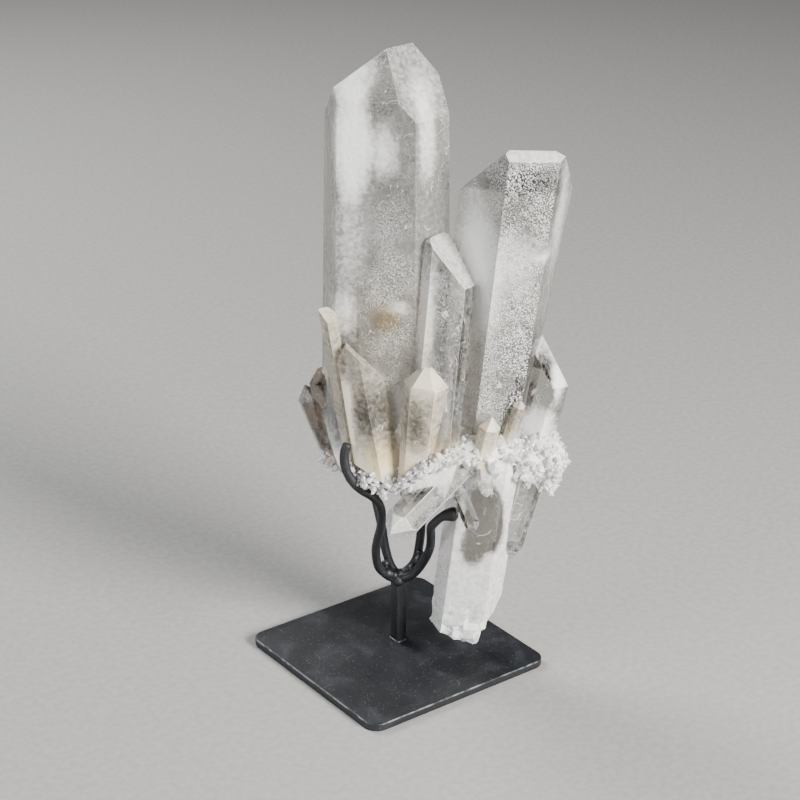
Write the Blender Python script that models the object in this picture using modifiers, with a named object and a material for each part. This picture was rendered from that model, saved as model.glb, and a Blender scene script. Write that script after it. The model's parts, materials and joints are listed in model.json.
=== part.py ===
"""A quartz cluster held by bent rods on a square steel display base.

Units are metres, +Z is up. The origin is the centre of the base plate's underside, and the
plate's sides run along X and Y. The stone and its rods are laid out in a display frame, in which
+X is the right of someone who faces the cluster's best side and +Y is away from them. That frame
is an empty turned about Z, so that the cluster stands at an angle on its plate.
"""

import math
import random
from dataclasses import dataclass

import bmesh
import bpy
from mathutils import Matrix, Vector, noise

# Stand: an eighth-inch plate, a three-sixteenths bar and eighth-inch rod, with their paint.
PLATE_SIDE = 0.0889
PLATE_THICKNESS = 0.0034
PLATE_CORNER_RADIUS = 0.006
PLATE_CORNER_STEPS = 8
EDGE_ROUNDING = 0.0004
EDGE_STEPS = 2
EDGE_ANGLE = math.radians(60)
POST_WIDTH = 0.0048
POST_TOP = 0.0315
POST_PLACE = (0.0005, 0.0062)
ROD_DIAMETER = 0.0035
GAP = 0.0003
DISPLAY_TURN = math.radians(-36.66)

# Quartz: six prism faces, and end faces that each stand 38.2 degrees off the face below.
END_FACE_SLOPE = math.radians(38.2)
FACE_STEP = math.radians(60)
BLANK_SIZE = 0.8
CUT_TOLERANCE = 1e-7

# Crumbly matrix between the crystals, and the small points that grow out of it.
MATRIX_ROUGHNESS = 0.22
MATRIX_LUMP_SIZE = 0.009
MATRIX_SEED = 5
DRUSE_SEED = 11
DRUSE_COUNT = 34
DRUSE_RADIUS = (0.0014, 0.0027)
DRUSE_LENGTH = (0.004, 0.008)
DRUSE_TILT = 0.45
DRUSE_DEPTH = 0.8

# Rods: steps along each stretch of a route, rings round the rod, and the blunted ends.
ROD_STEPS = 3
ROD_ROUNDNESS = 2
ROD_TIP_SWELL = 1.05

BLACK_PAINT = (0.012, 0.013, 0.015, 1.0)
PAINT_ROUGHNESS = 0.45
CLEAR_QUARTZ = (0.86, 0.85, 0.80, 1.0)
QUARTZ_ROUGHNESS = 0.05
QUARTZ_IOR = 1.544


@dataclass
class Crystal:
    """One quartz crystal, in the display frame.

    Its axis runs from root to tip. sides holds the distance of each prism face from the axis,
    measured at the tip, beginning with the face nearest the viewer and going round by way of the
    right. turn swings that first face to the right. ends holds how far below the tip the end face
    above each prism face would meet the axis, or None where it did not grow. breaks are further
    planes: turn to the right, slope off the axis, and drop below the tip. taper is the angle by
    which the prism widens towards its root.
    """

    name: str
    root: tuple
    tip: tuple
    turn: float
    sides: tuple
    ends: tuple = (None,) * 6
    breaks: tuple = ()
    taper: float = 0.0


CRYSTALS = (
    Crystal(
        "tall_crystal",
        root=(-0.0040, 0.0020, 0.086),
        tip=(-0.0032, 0.0100, 0.262),
        turn=-11.5,
        sides=(0.0166, 0.0203, 0.0199, 0.0180, 0.0190, 0.0222),
        ends=(0.0013, 0.0034, -0.0088, -0.0080, 0.0073, None),
        breaks=((-90, -24, 0.212), (175, -30, 0.226), (20, -12, 0.245)),
        taper=0.85,
    ),
    Crystal(
        "frosted_crystal",
        root=(0.0330, 0.0045, 0.084),
        tip=(0.0465, -0.0070, 0.220),
        turn=11.5,
        sides=(0.0130, 0.0165, 0.0400, 0.0140, 0.0220, 0.0135),
        ends=(-0.0190, -0.0235, None, None, -0.0080, None),
        breaks=((131.5, -10.7, 0.1788), (191.5, 44.6, 0.0044), (150, -25, 0.196)),
        taper=-0.9,
    ),
    Crystal(
        "centre_crystal",
        root=(0.0095, -0.0180, 0.084),
        tip=(0.0192, -0.0050, 0.195),
        turn=3.5,
        sides=(0.0095, 0.0120, 0.0109, 0.0075, 0.0080, 0.0096),
        ends=(-0.0012, 0.0106, -0.0010, -0.0085, 0.0040, -0.0030),
    ),
    Crystal(
        "short_crystal",
        root=(0.0072, -0.0200, 0.085),
        tip=(0.0126, -0.0200, 0.1470),
        turn=-12,
        sides=(0.0075, 0.0082, 0.0082, 0.0080, 0.0078, 0.0082),
        ends=(0.0052,) * 6,
        breaks=((0, 86, 0.0075),),
        taper=-1.6,
    ),
    Crystal(
        "left_spike",
        root=(-0.0155, -0.0120, 0.086),
        tip=(-0.0275, -0.0090, 0.163),
        turn=15,
        sides=(0.0035, 0.0030, 0.0030, 0.0035, 0.0030, 0.0030),
        ends=(0.0040, 0.0030, 0.0030, 0.0030, 0.0, 0.0),
        breaks=((-70, -35, 0.071),),
        taper=0.5,
    ),
    Crystal(
        "left_crystal",
        root=(-0.0050, -0.0140, 0.082),
        tip=(-0.0170, -0.0110, 0.153),
        turn=-25,
        sides=(0.0070, 0.0070, 0.0075, 0.0060, 0.0080, 0.0080),
        ends=(-0.0060, 0.0010, 0.0120, 0.0, 0.0040, 0.0020),
        breaks=((-65, -42, 0.067),),
        taper=1.5,
    ),
    Crystal(
        "smoky_crystal",
        root=(-0.0235, 0.0100, 0.088),
        tip=(-0.0305, 0.0070, 0.1310),
        turn=20,
        sides=(0.0055, 0.0050, 0.0055, 0.0050, 0.0055, 0.0055),
        ends=(0.0020,) * 6,
        breaks=((0, 84, 0.0048),),
    ),
    Crystal(
        "smoky_side_crystal",
        root=(-0.0240, 0.0150, 0.083),
        tip=(-0.0380, 0.0145, 0.1185),
        turn=-10,
        sides=(0.0045,) * 6,
        ends=(0.0020,) * 6,
        taper=1.0,
    ),
    Crystal(
        "front_crystal",
        root=(0.0240, -0.0090, 0.092),
        tip=(-0.0050, -0.0420, 0.0755),
        turn=0,
        sides=(0.0068,) * 6,
        ends=(0.0010, 0.0, 0.0030, 0.0010, 0.0, 0.0030),
    ),
    Crystal(
        "right_crystal",
        root=(0.0510, 0.0060, 0.086),
        tip=(0.0648, 0.0060, 0.1480),
        turn=-20,
        sides=(0.0078, 0.0085, 0.0085, 0.0080, 0.0070, 0.0085),
        ends=(0.0030, 0.0150, 0.0150, 0.0030, -0.0010, -0.0010),
    ),
    Crystal(
        "hanging_crystal",
        root=(0.0365, -0.0030, 0.096),
        tip=(0.0250, -0.0060, 0.003),
        turn=8,
        sides=(0.0100, 0.0120, 0.0120, 0.0110, 0.0125, 0.0125),
        breaks=((-66, 46, 0.002), (70, 38, -0.0015), (-150, 60, 0.003), (60, 66, 0.0080)),
        taper=0.3,
    ),
    Crystal(
        "hanging_side_crystal",
        root=(0.0550, 0.0020, 0.096),
        tip=(0.0420, -0.0020, 0.040),
        turn=-20,
        sides=(0.0060, 0.0070, 0.0070, 0.0070, 0.0070, 0.0060),
        ends=(0.0040, 0.0050, 0.0020, 0.0040, 0.0, 0.0040),
        taper=3.0,
    ),
    Crystal(
        "small_clear_crystal",
        root=(0.0215, -0.0120, 0.089),
        tip=(0.0313, -0.0240, 0.0690),
        turn=0,
        sides=(0.0026,) * 6,
        ends=(0.0010, 0.0, 0.0010, 0.0010, 0.0, 0.0010),
        taper=1.0,
    ),
    Crystal(
        "small_point",
        root=(0.0340, -0.0130, 0.098),
        tip=(0.0355, -0.0220, 0.083),
        turn=0,
        sides=(0.0024,) * 6,
        ends=(0.0010, 0.0, 0.0010, 0.0010, 0.0, 0.0010),
        taper=1.0,
    ),
    Crystal(
        "white_block",
        root=(0.0375, -0.0120, 0.090),
        tip=(0.0395, -0.0220, 0.099),
        turn=12,
        sides=(0.0028,) * 6,
        ends=(0.0010,) * 6,
        breaks=((0, 80, 0.0020),),
    ),
    Crystal(
        "stub_crystal",
        root=(0.0330, -0.0140, 0.095),
        tip=(0.0380, -0.0170, 0.1205),
        turn=10,
        sides=(0.0038,) * 6,
        ends=(0.0040,) * 6,
        breaks=((0, 85, 0.0030),),
    ),
    Crystal(
        "slim_crystal",
        root=(0.0400, -0.0100, 0.092),
        tip=(0.0490, -0.0090, 0.121),
        turn=20,
        sides=(0.0022,) * 6,
        ends=(0.0010, 0.0, 0.0010, 0.0010, 0.0, 0.0010),
    ),
    Crystal(
        "back_crystal",
        root=(0.0140, 0.0120, 0.088),
        tip=(0.0200, 0.0330, 0.146),
        turn=24,
        sides=(0.0075, 0.0080, 0.0070, 0.0075, 0.0080, 0.0070),
        ends=(0.0, 0.0060, 0.0010, 0.0050, 0.0, 0.0060),
        taper=0.8,
    ),
    Crystal(
        "back_small_crystal",
        root=(-0.0020, 0.0140, 0.088),
        tip=(-0.0060, 0.0350, 0.120),
        turn=5,
        sides=(0.0055,) * 6,
        ends=(0.0, 0.0030, 0.0, 0.0040, 0.0010, 0.0030),
        taper=0.8,
    ),
)


@dataclass
class Lump:
    """A rough ellipsoid of matrix: its centre and its half-sizes along the display frame."""

    centre: tuple
    radii: tuple


MATRIX_CORE = Lump((0.0255, -0.0010, 0.0945), (0.0280, 0.0160, 0.0120))
MATRIX_LUMPS = (
    Lump((0.0555, -0.0010, 0.0915), (0.0120, 0.0125, 0.0105)),
    Lump((0.0020, -0.0060, 0.0930), (0.0170, 0.0130, 0.0085)),
    Lump((0.0020, 0.0150, 0.0950), (0.0230, 0.0110, 0.0110)),
    Lump((-0.0225, 0.0120, 0.0880), (0.0070, 0.0090, 0.0070)),
    Lump((-0.0040, 0.0050, 0.0880), (0.0190, 0.0165, 0.0085)),
    Lump((0.0320, -0.0095, 0.0970), (0.0175, 0.0095, 0.0080)),
    Lump((-0.0085, -0.0060, 0.0895), (0.0115, 0.0100, 0.0065)),
    Lump((0.0130, -0.0160, 0.0905), (0.0125, 0.0070, 0.0065)),
)

# Each fork is one rod, bent to a U and welded on the post. Its points run from tip to tip.
FRONT_FORK = (
    (-0.0194, -0.0190, 0.1060),
    (-0.0206, -0.0195, 0.1010),
    (-0.0199, -0.0195, 0.0950),
    (-0.0173, -0.0190, 0.0895),
    (-0.0142, -0.0172, 0.0852),
    (-0.0098, -0.0145, 0.0808),
    (-0.0072, -0.0115, 0.0760),
    (-0.0062, -0.0085, 0.0700),
    (-0.0066, -0.0050, 0.0620),
    (-0.0080, -0.0025, 0.0550),
    (-0.0087, 0.0000, 0.0480),
    (-0.0078, 0.0023, 0.0405),
    (-0.0050, 0.0038, 0.0358),
    (-0.0015, 0.0043, POST_TOP + GAP + ROD_DIAMETER / 2),
    (0.0025, 0.0043, POST_TOP + GAP + ROD_DIAMETER / 2),
    (0.0065, 0.0030, 0.0360),
    (0.0103, 0.0010, 0.0420),
    (0.0132, -0.0025, 0.0505),
    (0.0137, -0.0070, 0.0580),
    (0.0136, -0.0115, 0.0650),
    (0.0148, -0.0135, 0.0682),
    (0.0179, -0.0153, 0.0721),
    (0.0211, -0.0162, 0.0736),
    (0.0245, -0.0163, 0.0738),
)
BACK_FORK = (
    (-0.0130, 0.0195, 0.0822),
    (-0.0110, 0.0165, 0.0740),
    (-0.0085, 0.0125, 0.0640),
    (-0.0062, 0.0095, 0.0540),
    (-0.0046, 0.0085, 0.0440),
    (-0.0022, 0.0082, 0.0365),
    (0.0005, 0.0082, POST_TOP + GAP + ROD_DIAMETER / 2),
    (0.0040, 0.0082, 0.0350),
    (0.0078, 0.0085, 0.0400),
    (0.0095, 0.0090, 0.0490),
    (0.0105, 0.0110, 0.0600),
    (0.0135, 0.0145, 0.0700),
    (0.0188, 0.0182, 0.0810),
)


def clear_scene():
    for obj in list(bpy.data.objects):
        bpy.data.objects.remove(obj, do_unlink=True)


def new_collection(name):
    collection = bpy.data.collections.new(name)
    bpy.context.scene.collection.children.link(collection)
    return collection


def principled(name, colour, roughness, transmission=0.0, ior=1.5):
    material = bpy.data.materials.new(name)
    material.use_nodes = True
    shader = material.node_tree.nodes["Principled BSDF"]
    shader.inputs["Base Color"].default_value = colour
    shader.inputs["Roughness"].default_value = roughness
    shader.inputs["Transmission Weight"].default_value = transmission
    shader.inputs["IOR"].default_value = ior
    return material


def add_object(name, data, collection, parent=None, material=None):
    obj = bpy.data.objects.new(name, data)
    collection.objects.link(obj)
    obj.parent = parent
    if material:
        data.materials.append(material)
    return obj


def hide_helper(obj):
    obj.hide_render = True
    obj.display_type = "WIRE"


def mesh_from(bm, name):
    bmesh.ops.recalc_face_normals(bm, faces=bm.faces)
    mesh = bpy.data.meshes.new(name)
    bm.to_mesh(mesh)
    bm.free()
    return mesh


def round_edges(obj):
    bevel = obj.modifiers.new("rounding", "BEVEL")
    bevel.width = EDGE_ROUNDING
    bevel.segments = EDGE_STEPS
    bevel.limit_method = "ANGLE"
    bevel.angle_limit = EDGE_ANGLE


def base_plate(collection, paint):
    """A square plate with rounded corners, its underside at z = 0."""
    bm = bmesh.new()
    bmesh.ops.create_cube(bm, size=1.0)
    bmesh.ops.scale(bm, vec=(PLATE_SIDE, PLATE_SIDE, PLATE_THICKNESS), verts=bm.verts)
    bmesh.ops.translate(bm, vec=(0, 0, PLATE_THICKNESS / 2), verts=bm.verts)
    uprights = [edge for edge in bm.edges if edge.calc_length() < PLATE_SIDE / 2]
    bmesh.ops.bevel(
        bm,
        geom=uprights,
        offset=PLATE_CORNER_RADIUS,
        segments=PLATE_CORNER_STEPS,
        profile=0.5,
        affect="EDGES",
    )
    plate = add_object("base_plate", mesh_from(bm, "base_plate"), collection, material=paint)
    round_edges(plate)
    return plate


def post(collection, paint):
    """A square bar set on the plate, its sides in line with the plate's."""
    height = POST_TOP - PLATE_THICKNESS - GAP
    bm = bmesh.new()
    bmesh.ops.create_cube(bm, size=1.0)
    bmesh.ops.scale(bm, vec=(POST_WIDTH, POST_WIDTH, height), verts=bm.verts)
    bmesh.ops.translate(bm, vec=(0, 0, PLATE_THICKNESS + GAP + height / 2), verts=bm.verts)
    bar = add_object("post", mesh_from(bm, "post"), collection, material=paint)
    place = Matrix.Rotation(DISPLAY_TURN, 3, "Z") @ Vector((*POST_PLACE, 0.0))
    bar.location = place
    round_edges(bar)
    return bar


def smooth_route(points, steps):
    """Points along a smooth curve through the route's own points."""
    ends = [Vector(p) for p in points]
    padded = [2 * ends[0] - ends[1], *ends, 2 * ends[-1] - ends[-2]]
    route = []
    for before, here, there, after in zip(padded, padded[1:], padded[2:], padded[3:]):
        for step in range(steps):
            t = step / steps
            route.append(
                0.5
                * (
                    2 * here
                    + (there - before) * t
                    + (2 * before - 5 * here + 4 * there - after) * t * t
                    + (3 * here - before - 3 * there + after) * t * t * t
                )
            )
    return [*route, ends[-1]]


def fork(name, points, collection, parent, paint):
    """A round rod along its route, with closed ends."""
    route = smooth_route(points, ROD_STEPS)
    curve = bpy.data.curves.new(name, "CURVE")
    curve.dimensions = "3D"
    curve.bevel_depth = ROD_DIAMETER / 2
    curve.bevel_resolution = ROD_ROUNDNESS
    curve.use_fill_caps = True
    spline = curve.splines.new("POLY")
    spline.points.add(len(route) - 1)
    for point, place in zip(spline.points, route):
        point.co = (*place, 1.0)
    for end in (spline.points[0], spline.points[-1]):
        end.radius = ROD_TIP_SWELL
    return add_object(name, curve, collection, parent, paint)


def axes_of(crystal):
    """The crystal's axis, its right and its back, square to one another."""
    axis = (Vector(crystal.tip) - Vector(crystal.root)).normalized()
    back = Vector((0, 1, 0))
    back = (back - axis * axis.dot(back)).normalized()
    return axis, back.cross(axis), back


def planes_of(crystal):
    """A point and an outward normal for every face of the crystal."""
    axis, right, back = axes_of(crystal)
    tip = Vector(crystal.tip)

    def outward(turn, slope):
        level = right * math.sin(turn) - back * math.cos(turn)
        return level * math.cos(slope) + axis * math.sin(slope)

    first = math.radians(crystal.turn)
    planes = [(Vector(crystal.root), -axis)]
    for number, (side, end) in enumerate(zip(crystal.sides, crystal.ends)):
        turn = first + number * FACE_STEP
        planes.append((tip + outward(turn, 0.0) * side, outward(turn, math.radians(crystal.taper))))
        if end is not None:
            planes.append((tip - axis * end, outward(turn, END_FACE_SLOPE)))
    for turn, slope, drop in crystal.breaks:
        planes.append((tip - axis * drop, outward(math.radians(turn), math.radians(slope))))
    return planes


def crystal_mesh(crystal):
    """A block cut down to the crystal by the plane of each of its faces."""
    bm = bmesh.new()
    bmesh.ops.create_cube(bm, size=BLANK_SIZE)
    bmesh.ops.translate(bm, vec=crystal.root, verts=bm.verts)
    for point, normal in planes_of(crystal):
        cut = bmesh.ops.bisect_plane(
            bm,
            geom=[*bm.verts, *bm.edges, *bm.faces],
            dist=CUT_TOLERANCE,
            plane_co=point,
            plane_no=normal,
            clear_outer=True,
        )
        rim = [part for part in cut["geom_cut"] if isinstance(part, bmesh.types.BMEdge)]
        if rim:
            bmesh.ops.contextual_create(bm, geom=rim)
    return mesh_from(bm, crystal.name)


def lump_mesh(name, lump, seed):
    """A faceted ellipsoid with a crumbled surface."""
    bm = bmesh.new()
    bmesh.ops.create_icosphere(bm, subdivisions=3, radius=1.0)
    offset = Vector((seed, 2 * seed, 3 * seed))
    for vert in bm.verts:
        place = Vector(lump.centre) + Vector(c * r for c, r in zip(vert.co, lump.radii))
        bump = noise.cell(place / MATRIX_LUMP_SIZE + offset) - 0.5
        bump += noise.noise(place / MATRIX_LUMP_SIZE + offset)
        vert.co = place + (place - Vector(lump.centre)) * bump * MATRIX_ROUGHNESS
    return mesh_from(bm, name)


def druse_crystals():
    """Small points that grow out of the matrix all round, placed by a seeded draw."""
    draw = random.Random(DRUSE_SEED)
    lumps = (MATRIX_CORE, *MATRIX_LUMPS)
    for number in range(DRUSE_COUNT):
        lump = lumps[number % len(lumps)]
        heading = Vector([draw.gauss(0, 1) for _ in range(3)]).normalized()
        reach = Vector(h * r * DRUSE_DEPTH for h, r in zip(heading, lump.radii))
        start = Vector(lump.centre) + reach
        tilt = Vector([draw.uniform(-DRUSE_TILT, DRUSE_TILT) for _ in range(3)])
        aim = (heading + tilt).normalized()
        radius = draw.uniform(*DRUSE_RADIUS)
        length = draw.uniform(*DRUSE_LENGTH)
        yield Crystal(
            f"druse_{number + 1:02d}",
            root=tuple(start - aim * radius),
            tip=tuple(start + aim * length),
            turn=draw.uniform(0, 60),
            sides=(radius,) * 6,
            ends=tuple(draw.uniform(0, radius / 2) for _ in range(6)),
        )


def quartz_cluster(collection, cutters, parent, quartz):
    """Every crystal and the matrix, grown together as one solid."""
    cluster = add_object(
        "quartz_cluster",
        lump_mesh("quartz_cluster", MATRIX_CORE, MATRIX_SEED),
        collection,
        parent,
        quartz,
    )
    for number, lump in enumerate(MATRIX_LUMPS, start=1):
        mesh = lump_mesh(f"matrix_{number}", lump, MATRIX_SEED + number)
        hide_helper(add_object(mesh.name, mesh, cutters, parent))
    for crystal in (*CRYSTALS, *druse_crystals()):
        hide_helper(add_object(crystal.name, crystal_mesh(crystal), cutters, parent))
    joined = cluster.modifiers.new("grown_together", "BOOLEAN")
    joined.operation = "UNION"
    joined.solver = "EXACT"
    joined.operand_type = "COLLECTION"
    joined.collection = cutters
    return cluster


def main():
    clear_scene()
    parts = new_collection("quartz_cluster_on_stand")
    cutters = new_collection("cluster_members")
    display = add_object("display_frame", None, parts)
    display.rotation_euler.z = DISPLAY_TURN
    paint = principled("black_paint", BLACK_PAINT, PAINT_ROUGHNESS)
    quartz = principled("quartz", CLEAR_QUARTZ, QUARTZ_ROUGHNESS, 1.0, QUARTZ_IOR)
    base_plate(parts, paint)
    post(parts, paint)
    fork("front_fork", FRONT_FORK, parts, display, paint)
    fork("back_fork", BACK_FORK, parts, display, paint)
    quartz_cluster(parts, cutters, display, quartz)
    bpy.context.view_layer.update()


if __name__ == "__main__":
    main()
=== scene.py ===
"""Dresses a quartz crystal cluster and the black steel stand that holds it.

Lengths are metres in the part's own frame: +Z is up and the origin is the centre of the base plate's
underside. The stone and its rods are laid out in a display frame, in which +X is the right of someone
who faces the cluster's best side and +Y is away from them. It is the part's frame turned about Z.
"""

import json
import logging
import math
import random
from collections.abc import Iterator, Sequence
from dataclasses import dataclass, field
from enum import Enum
from typing import Any

import bmesh
import bpy
from mathutils import Matrix, Vector, noise
from mathutils.bvhtree import BVHTree

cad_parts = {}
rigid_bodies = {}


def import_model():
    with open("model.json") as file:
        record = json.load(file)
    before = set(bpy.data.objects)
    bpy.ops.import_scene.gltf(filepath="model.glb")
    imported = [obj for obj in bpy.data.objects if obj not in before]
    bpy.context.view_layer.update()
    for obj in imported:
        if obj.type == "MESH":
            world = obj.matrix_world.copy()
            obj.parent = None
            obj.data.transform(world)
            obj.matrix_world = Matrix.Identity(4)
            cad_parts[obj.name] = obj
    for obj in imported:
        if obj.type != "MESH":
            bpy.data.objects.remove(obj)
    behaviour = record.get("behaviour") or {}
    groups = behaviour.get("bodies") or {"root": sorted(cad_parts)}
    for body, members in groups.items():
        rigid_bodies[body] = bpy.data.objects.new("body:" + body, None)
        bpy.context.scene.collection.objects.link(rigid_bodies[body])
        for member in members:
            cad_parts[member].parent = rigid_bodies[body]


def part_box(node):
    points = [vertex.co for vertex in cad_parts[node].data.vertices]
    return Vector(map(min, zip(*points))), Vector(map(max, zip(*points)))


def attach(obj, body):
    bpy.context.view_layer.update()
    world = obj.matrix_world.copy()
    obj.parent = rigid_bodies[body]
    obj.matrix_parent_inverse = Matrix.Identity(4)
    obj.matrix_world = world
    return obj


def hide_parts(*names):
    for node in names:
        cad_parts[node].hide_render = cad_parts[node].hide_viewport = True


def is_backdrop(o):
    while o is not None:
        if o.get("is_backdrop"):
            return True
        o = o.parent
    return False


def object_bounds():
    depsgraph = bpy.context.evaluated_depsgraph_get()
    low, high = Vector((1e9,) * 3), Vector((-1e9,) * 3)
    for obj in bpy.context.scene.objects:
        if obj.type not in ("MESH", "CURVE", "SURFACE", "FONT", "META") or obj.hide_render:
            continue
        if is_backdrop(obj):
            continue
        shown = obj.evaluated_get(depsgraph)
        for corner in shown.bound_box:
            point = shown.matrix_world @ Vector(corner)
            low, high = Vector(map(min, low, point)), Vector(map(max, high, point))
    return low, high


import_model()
CAD_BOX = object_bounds()

MM = 0.001
DISPLAY_TURN = math.radians(-36.66)
DISPLAY = Matrix.Rotation(DISPLAY_TURN, 4, "Z")
QUARTZ_INDEX = 1.544

log = logging.getLogger("quartz_cluster")

Triple = tuple[float, float, float]
Socket = bpy.types.NodeSocket
Inputs = Sequence[Any] | dict[str | int, Any]

# The colour sockets of a Mix node by number, because their names occur three times on it.
SHARE, FIRST, SECOND, MIXED = 0, 6, 7, 2
COLOURS = {"data_type": "RGBA"}
SMOOTH = {"interpolation_type": "SMOOTHSTEP"}


# Helpers


def linear(code: str) -> tuple[float, float, float, float]:
    """Turns an sRGB hex colour to the linear colour that shaders take.

    Args:
        code: The colour, as #RRGGBB.

    Returns:
        Red, green, blue and a full alpha.
    """
    channels = [int(code[place : place + 2], 16) / 255 for place in (1, 3, 5)]
    red, green, blue = (
        c / 12.92 if c <= 0.04045 else ((c + 0.055) / 1.055) ** 2.4 for c in channels
    )
    return red, green, blue, 1.0


@dataclass(frozen=True)
class Look:
    """A material under construction: the material itself, its shader and its output."""

    material: bpy.types.Material
    shader: bpy.types.Node
    output: bpy.types.Node

    @classmethod
    def named(cls, name: str) -> "Look":
        """Starts a material with one Principled shader.

        Args:
            name: The material's name.

        Returns:
            The look.
        """
        material = bpy.data.materials.new(name)
        material.use_nodes = True
        nodes = material.node_tree.nodes
        return cls(material, nodes["Principled BSDF"], nodes["Material Output"])

    def feed(self, node: bpy.types.Node, inputs: Inputs) -> None:
        """Sets or links a node's inputs.

        Args:
            node: The node.
            inputs: A value, or the socket that feeds it, for each input in turn, or by name or number.
        """
        pairs = inputs.items() if isinstance(inputs, dict) else enumerate(inputs)
        for name, value in pairs:
            if isinstance(value, Socket):
                self.material.node_tree.links.new(value, node.inputs[name])
            else:
                node.inputs[name].default_value = value

    def add(self, kind: str, inputs: Inputs = (), output: int | str = 0, **settings: Any) -> Socket:
        """Adds a node, with its settings, its values and its links.

        Args:
            kind: The node's type, without the prefix that all shader nodes share.
            inputs: What its inputs take, as feed has them.
            output: The name or number of the output that is wanted.
            **settings: The node's own properties.

        Returns:
            That output's socket.
        """
        node = self.material.node_tree.nodes.new("ShaderNode" + kind)
        for name, value in settings.items():
            setattr(node, name, value)
        self.feed(node, inputs)
        return node.outputs[output]

    def threads(self, place: Socket, size: float, width: float) -> Socket:
        """Draws fine curved lines where a noise crosses its middle, broken up by a second noise.

        Args:
            place: The coordinates, in metres.
            size: The size of the lines' bends, in metres.
            width: How much of the noise's range a line takes.

        Returns:
            The lines' socket, 1 along them.
        """
        waves = self.add("TexNoise", {"Vector": place, "Scale": 1 / size, "Detail": 1.0})
        level = self.add("Math", (waves, 0.5), operation="SUBTRACT")
        off_line = self.add("Math", (level,), operation="ABSOLUTE")
        line = self.add("MapRange", (off_line, width, width * 0.2), **SMOOTH)
        gaps = self.add("TexNoise", {"Vector": place, "Scale": 1 / (size * 0.7), "Detail": 1.0})
        broken = self.add("MapRange", (gaps, 0.54, 0.64), **SMOOTH)
        return self.add("Math", (line, broken), operation="MULTIPLY")

    def filled(self, colour: str, density: float) -> bpy.types.Material:
        """Fills the solid with a plain absorbing body, and gives the finished material."""
        self.feed(self.output, {"Volume": self.add("VolumeAbsorption", (linear(colour), density))})
        return self.material


def mesh_from(bm: bmesh.types.BMesh, name: str) -> bpy.types.Mesh:
    """Turns an edited mesh into a mesh with its faces outward.

    Args:
        bm: The edited mesh, which is freed.
        name: The new mesh's name.

    Returns:
        The mesh.
    """
    bmesh.ops.recalc_face_normals(bm, faces=bm.faces)
    mesh = bpy.data.meshes.new(name)
    bm.to_mesh(mesh)
    bm.free()
    return mesh


def add_object(name: str, data: Any) -> bpy.types.Object:
    """Adds an object to the scene.

    Args:
        name: The object's name.
        data: What it shows.

    Returns:
        The object.
    """
    obj = bpy.data.objects.new(name, data)
    bpy.context.scene.collection.objects.link(obj)
    return obj


def settled(obj: bpy.types.Object) -> bpy.types.Mesh:
    """Applies an object's modifiers.

    Args:
        obj: The object, which is removed.

    Returns:
        The finished mesh.
    """
    bpy.context.view_layer.update()
    graph = bpy.context.evaluated_depsgraph_get()
    mesh = bpy.data.meshes.new_from_object(obj.evaluated_get(graph))
    bpy.data.objects.remove(obj, do_unlink=True)
    return mesh


def show(
    name: str,
    mesh: bpy.types.Mesh,
    material: bpy.types.Material,
    replaced: Sequence[str] = (),
) -> bpy.types.Object:
    """Puts a finished piece on the part, and reports it.

    Args:
        name: The piece's name.
        mesh: Its mesh, in the part's frame.
        material: Its finish.
        replaced: The solids that it stands for.

    Returns:
        The piece's object.
    """
    mesh.materials.clear()
    mesh.materials.append(material)
    piece = add_object(name, mesh)
    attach(piece, "root")
    if replaced:
        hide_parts(*replaced)
    log.info("%s: %d faces, finish %s", name, len(mesh.polygons), material.name)
    return piece


@dataclass
class Heap:
    """Many small closed solids, gathered into one mesh."""

    verts: list[Vector] = field(default_factory=list)
    faces: list[tuple[int, ...]] = field(default_factory=list)

    def add(self, corners: Sequence[Vector], sides: Sequence[tuple[int, ...]]) -> None:
        """Adds one solid.

        Args:
            corners: Its corners.
            sides: The numbers of the corners round each of its sides.
        """
        base = len(self.verts)
        self.verts += corners
        self.faces += [tuple(base + corner for corner in side) for side in sides]

    def mesh(self, name: str) -> bpy.types.Mesh:
        """Makes the mesh of everything in the heap.

        Args:
            name: The mesh's name.

        Returns:
            The mesh.
        """
        mesh = bpy.data.meshes.new(name)
        mesh.from_pydata(self.verts, [], self.faces)
        mesh.validate()
        return mesh


# Finishes


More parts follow.
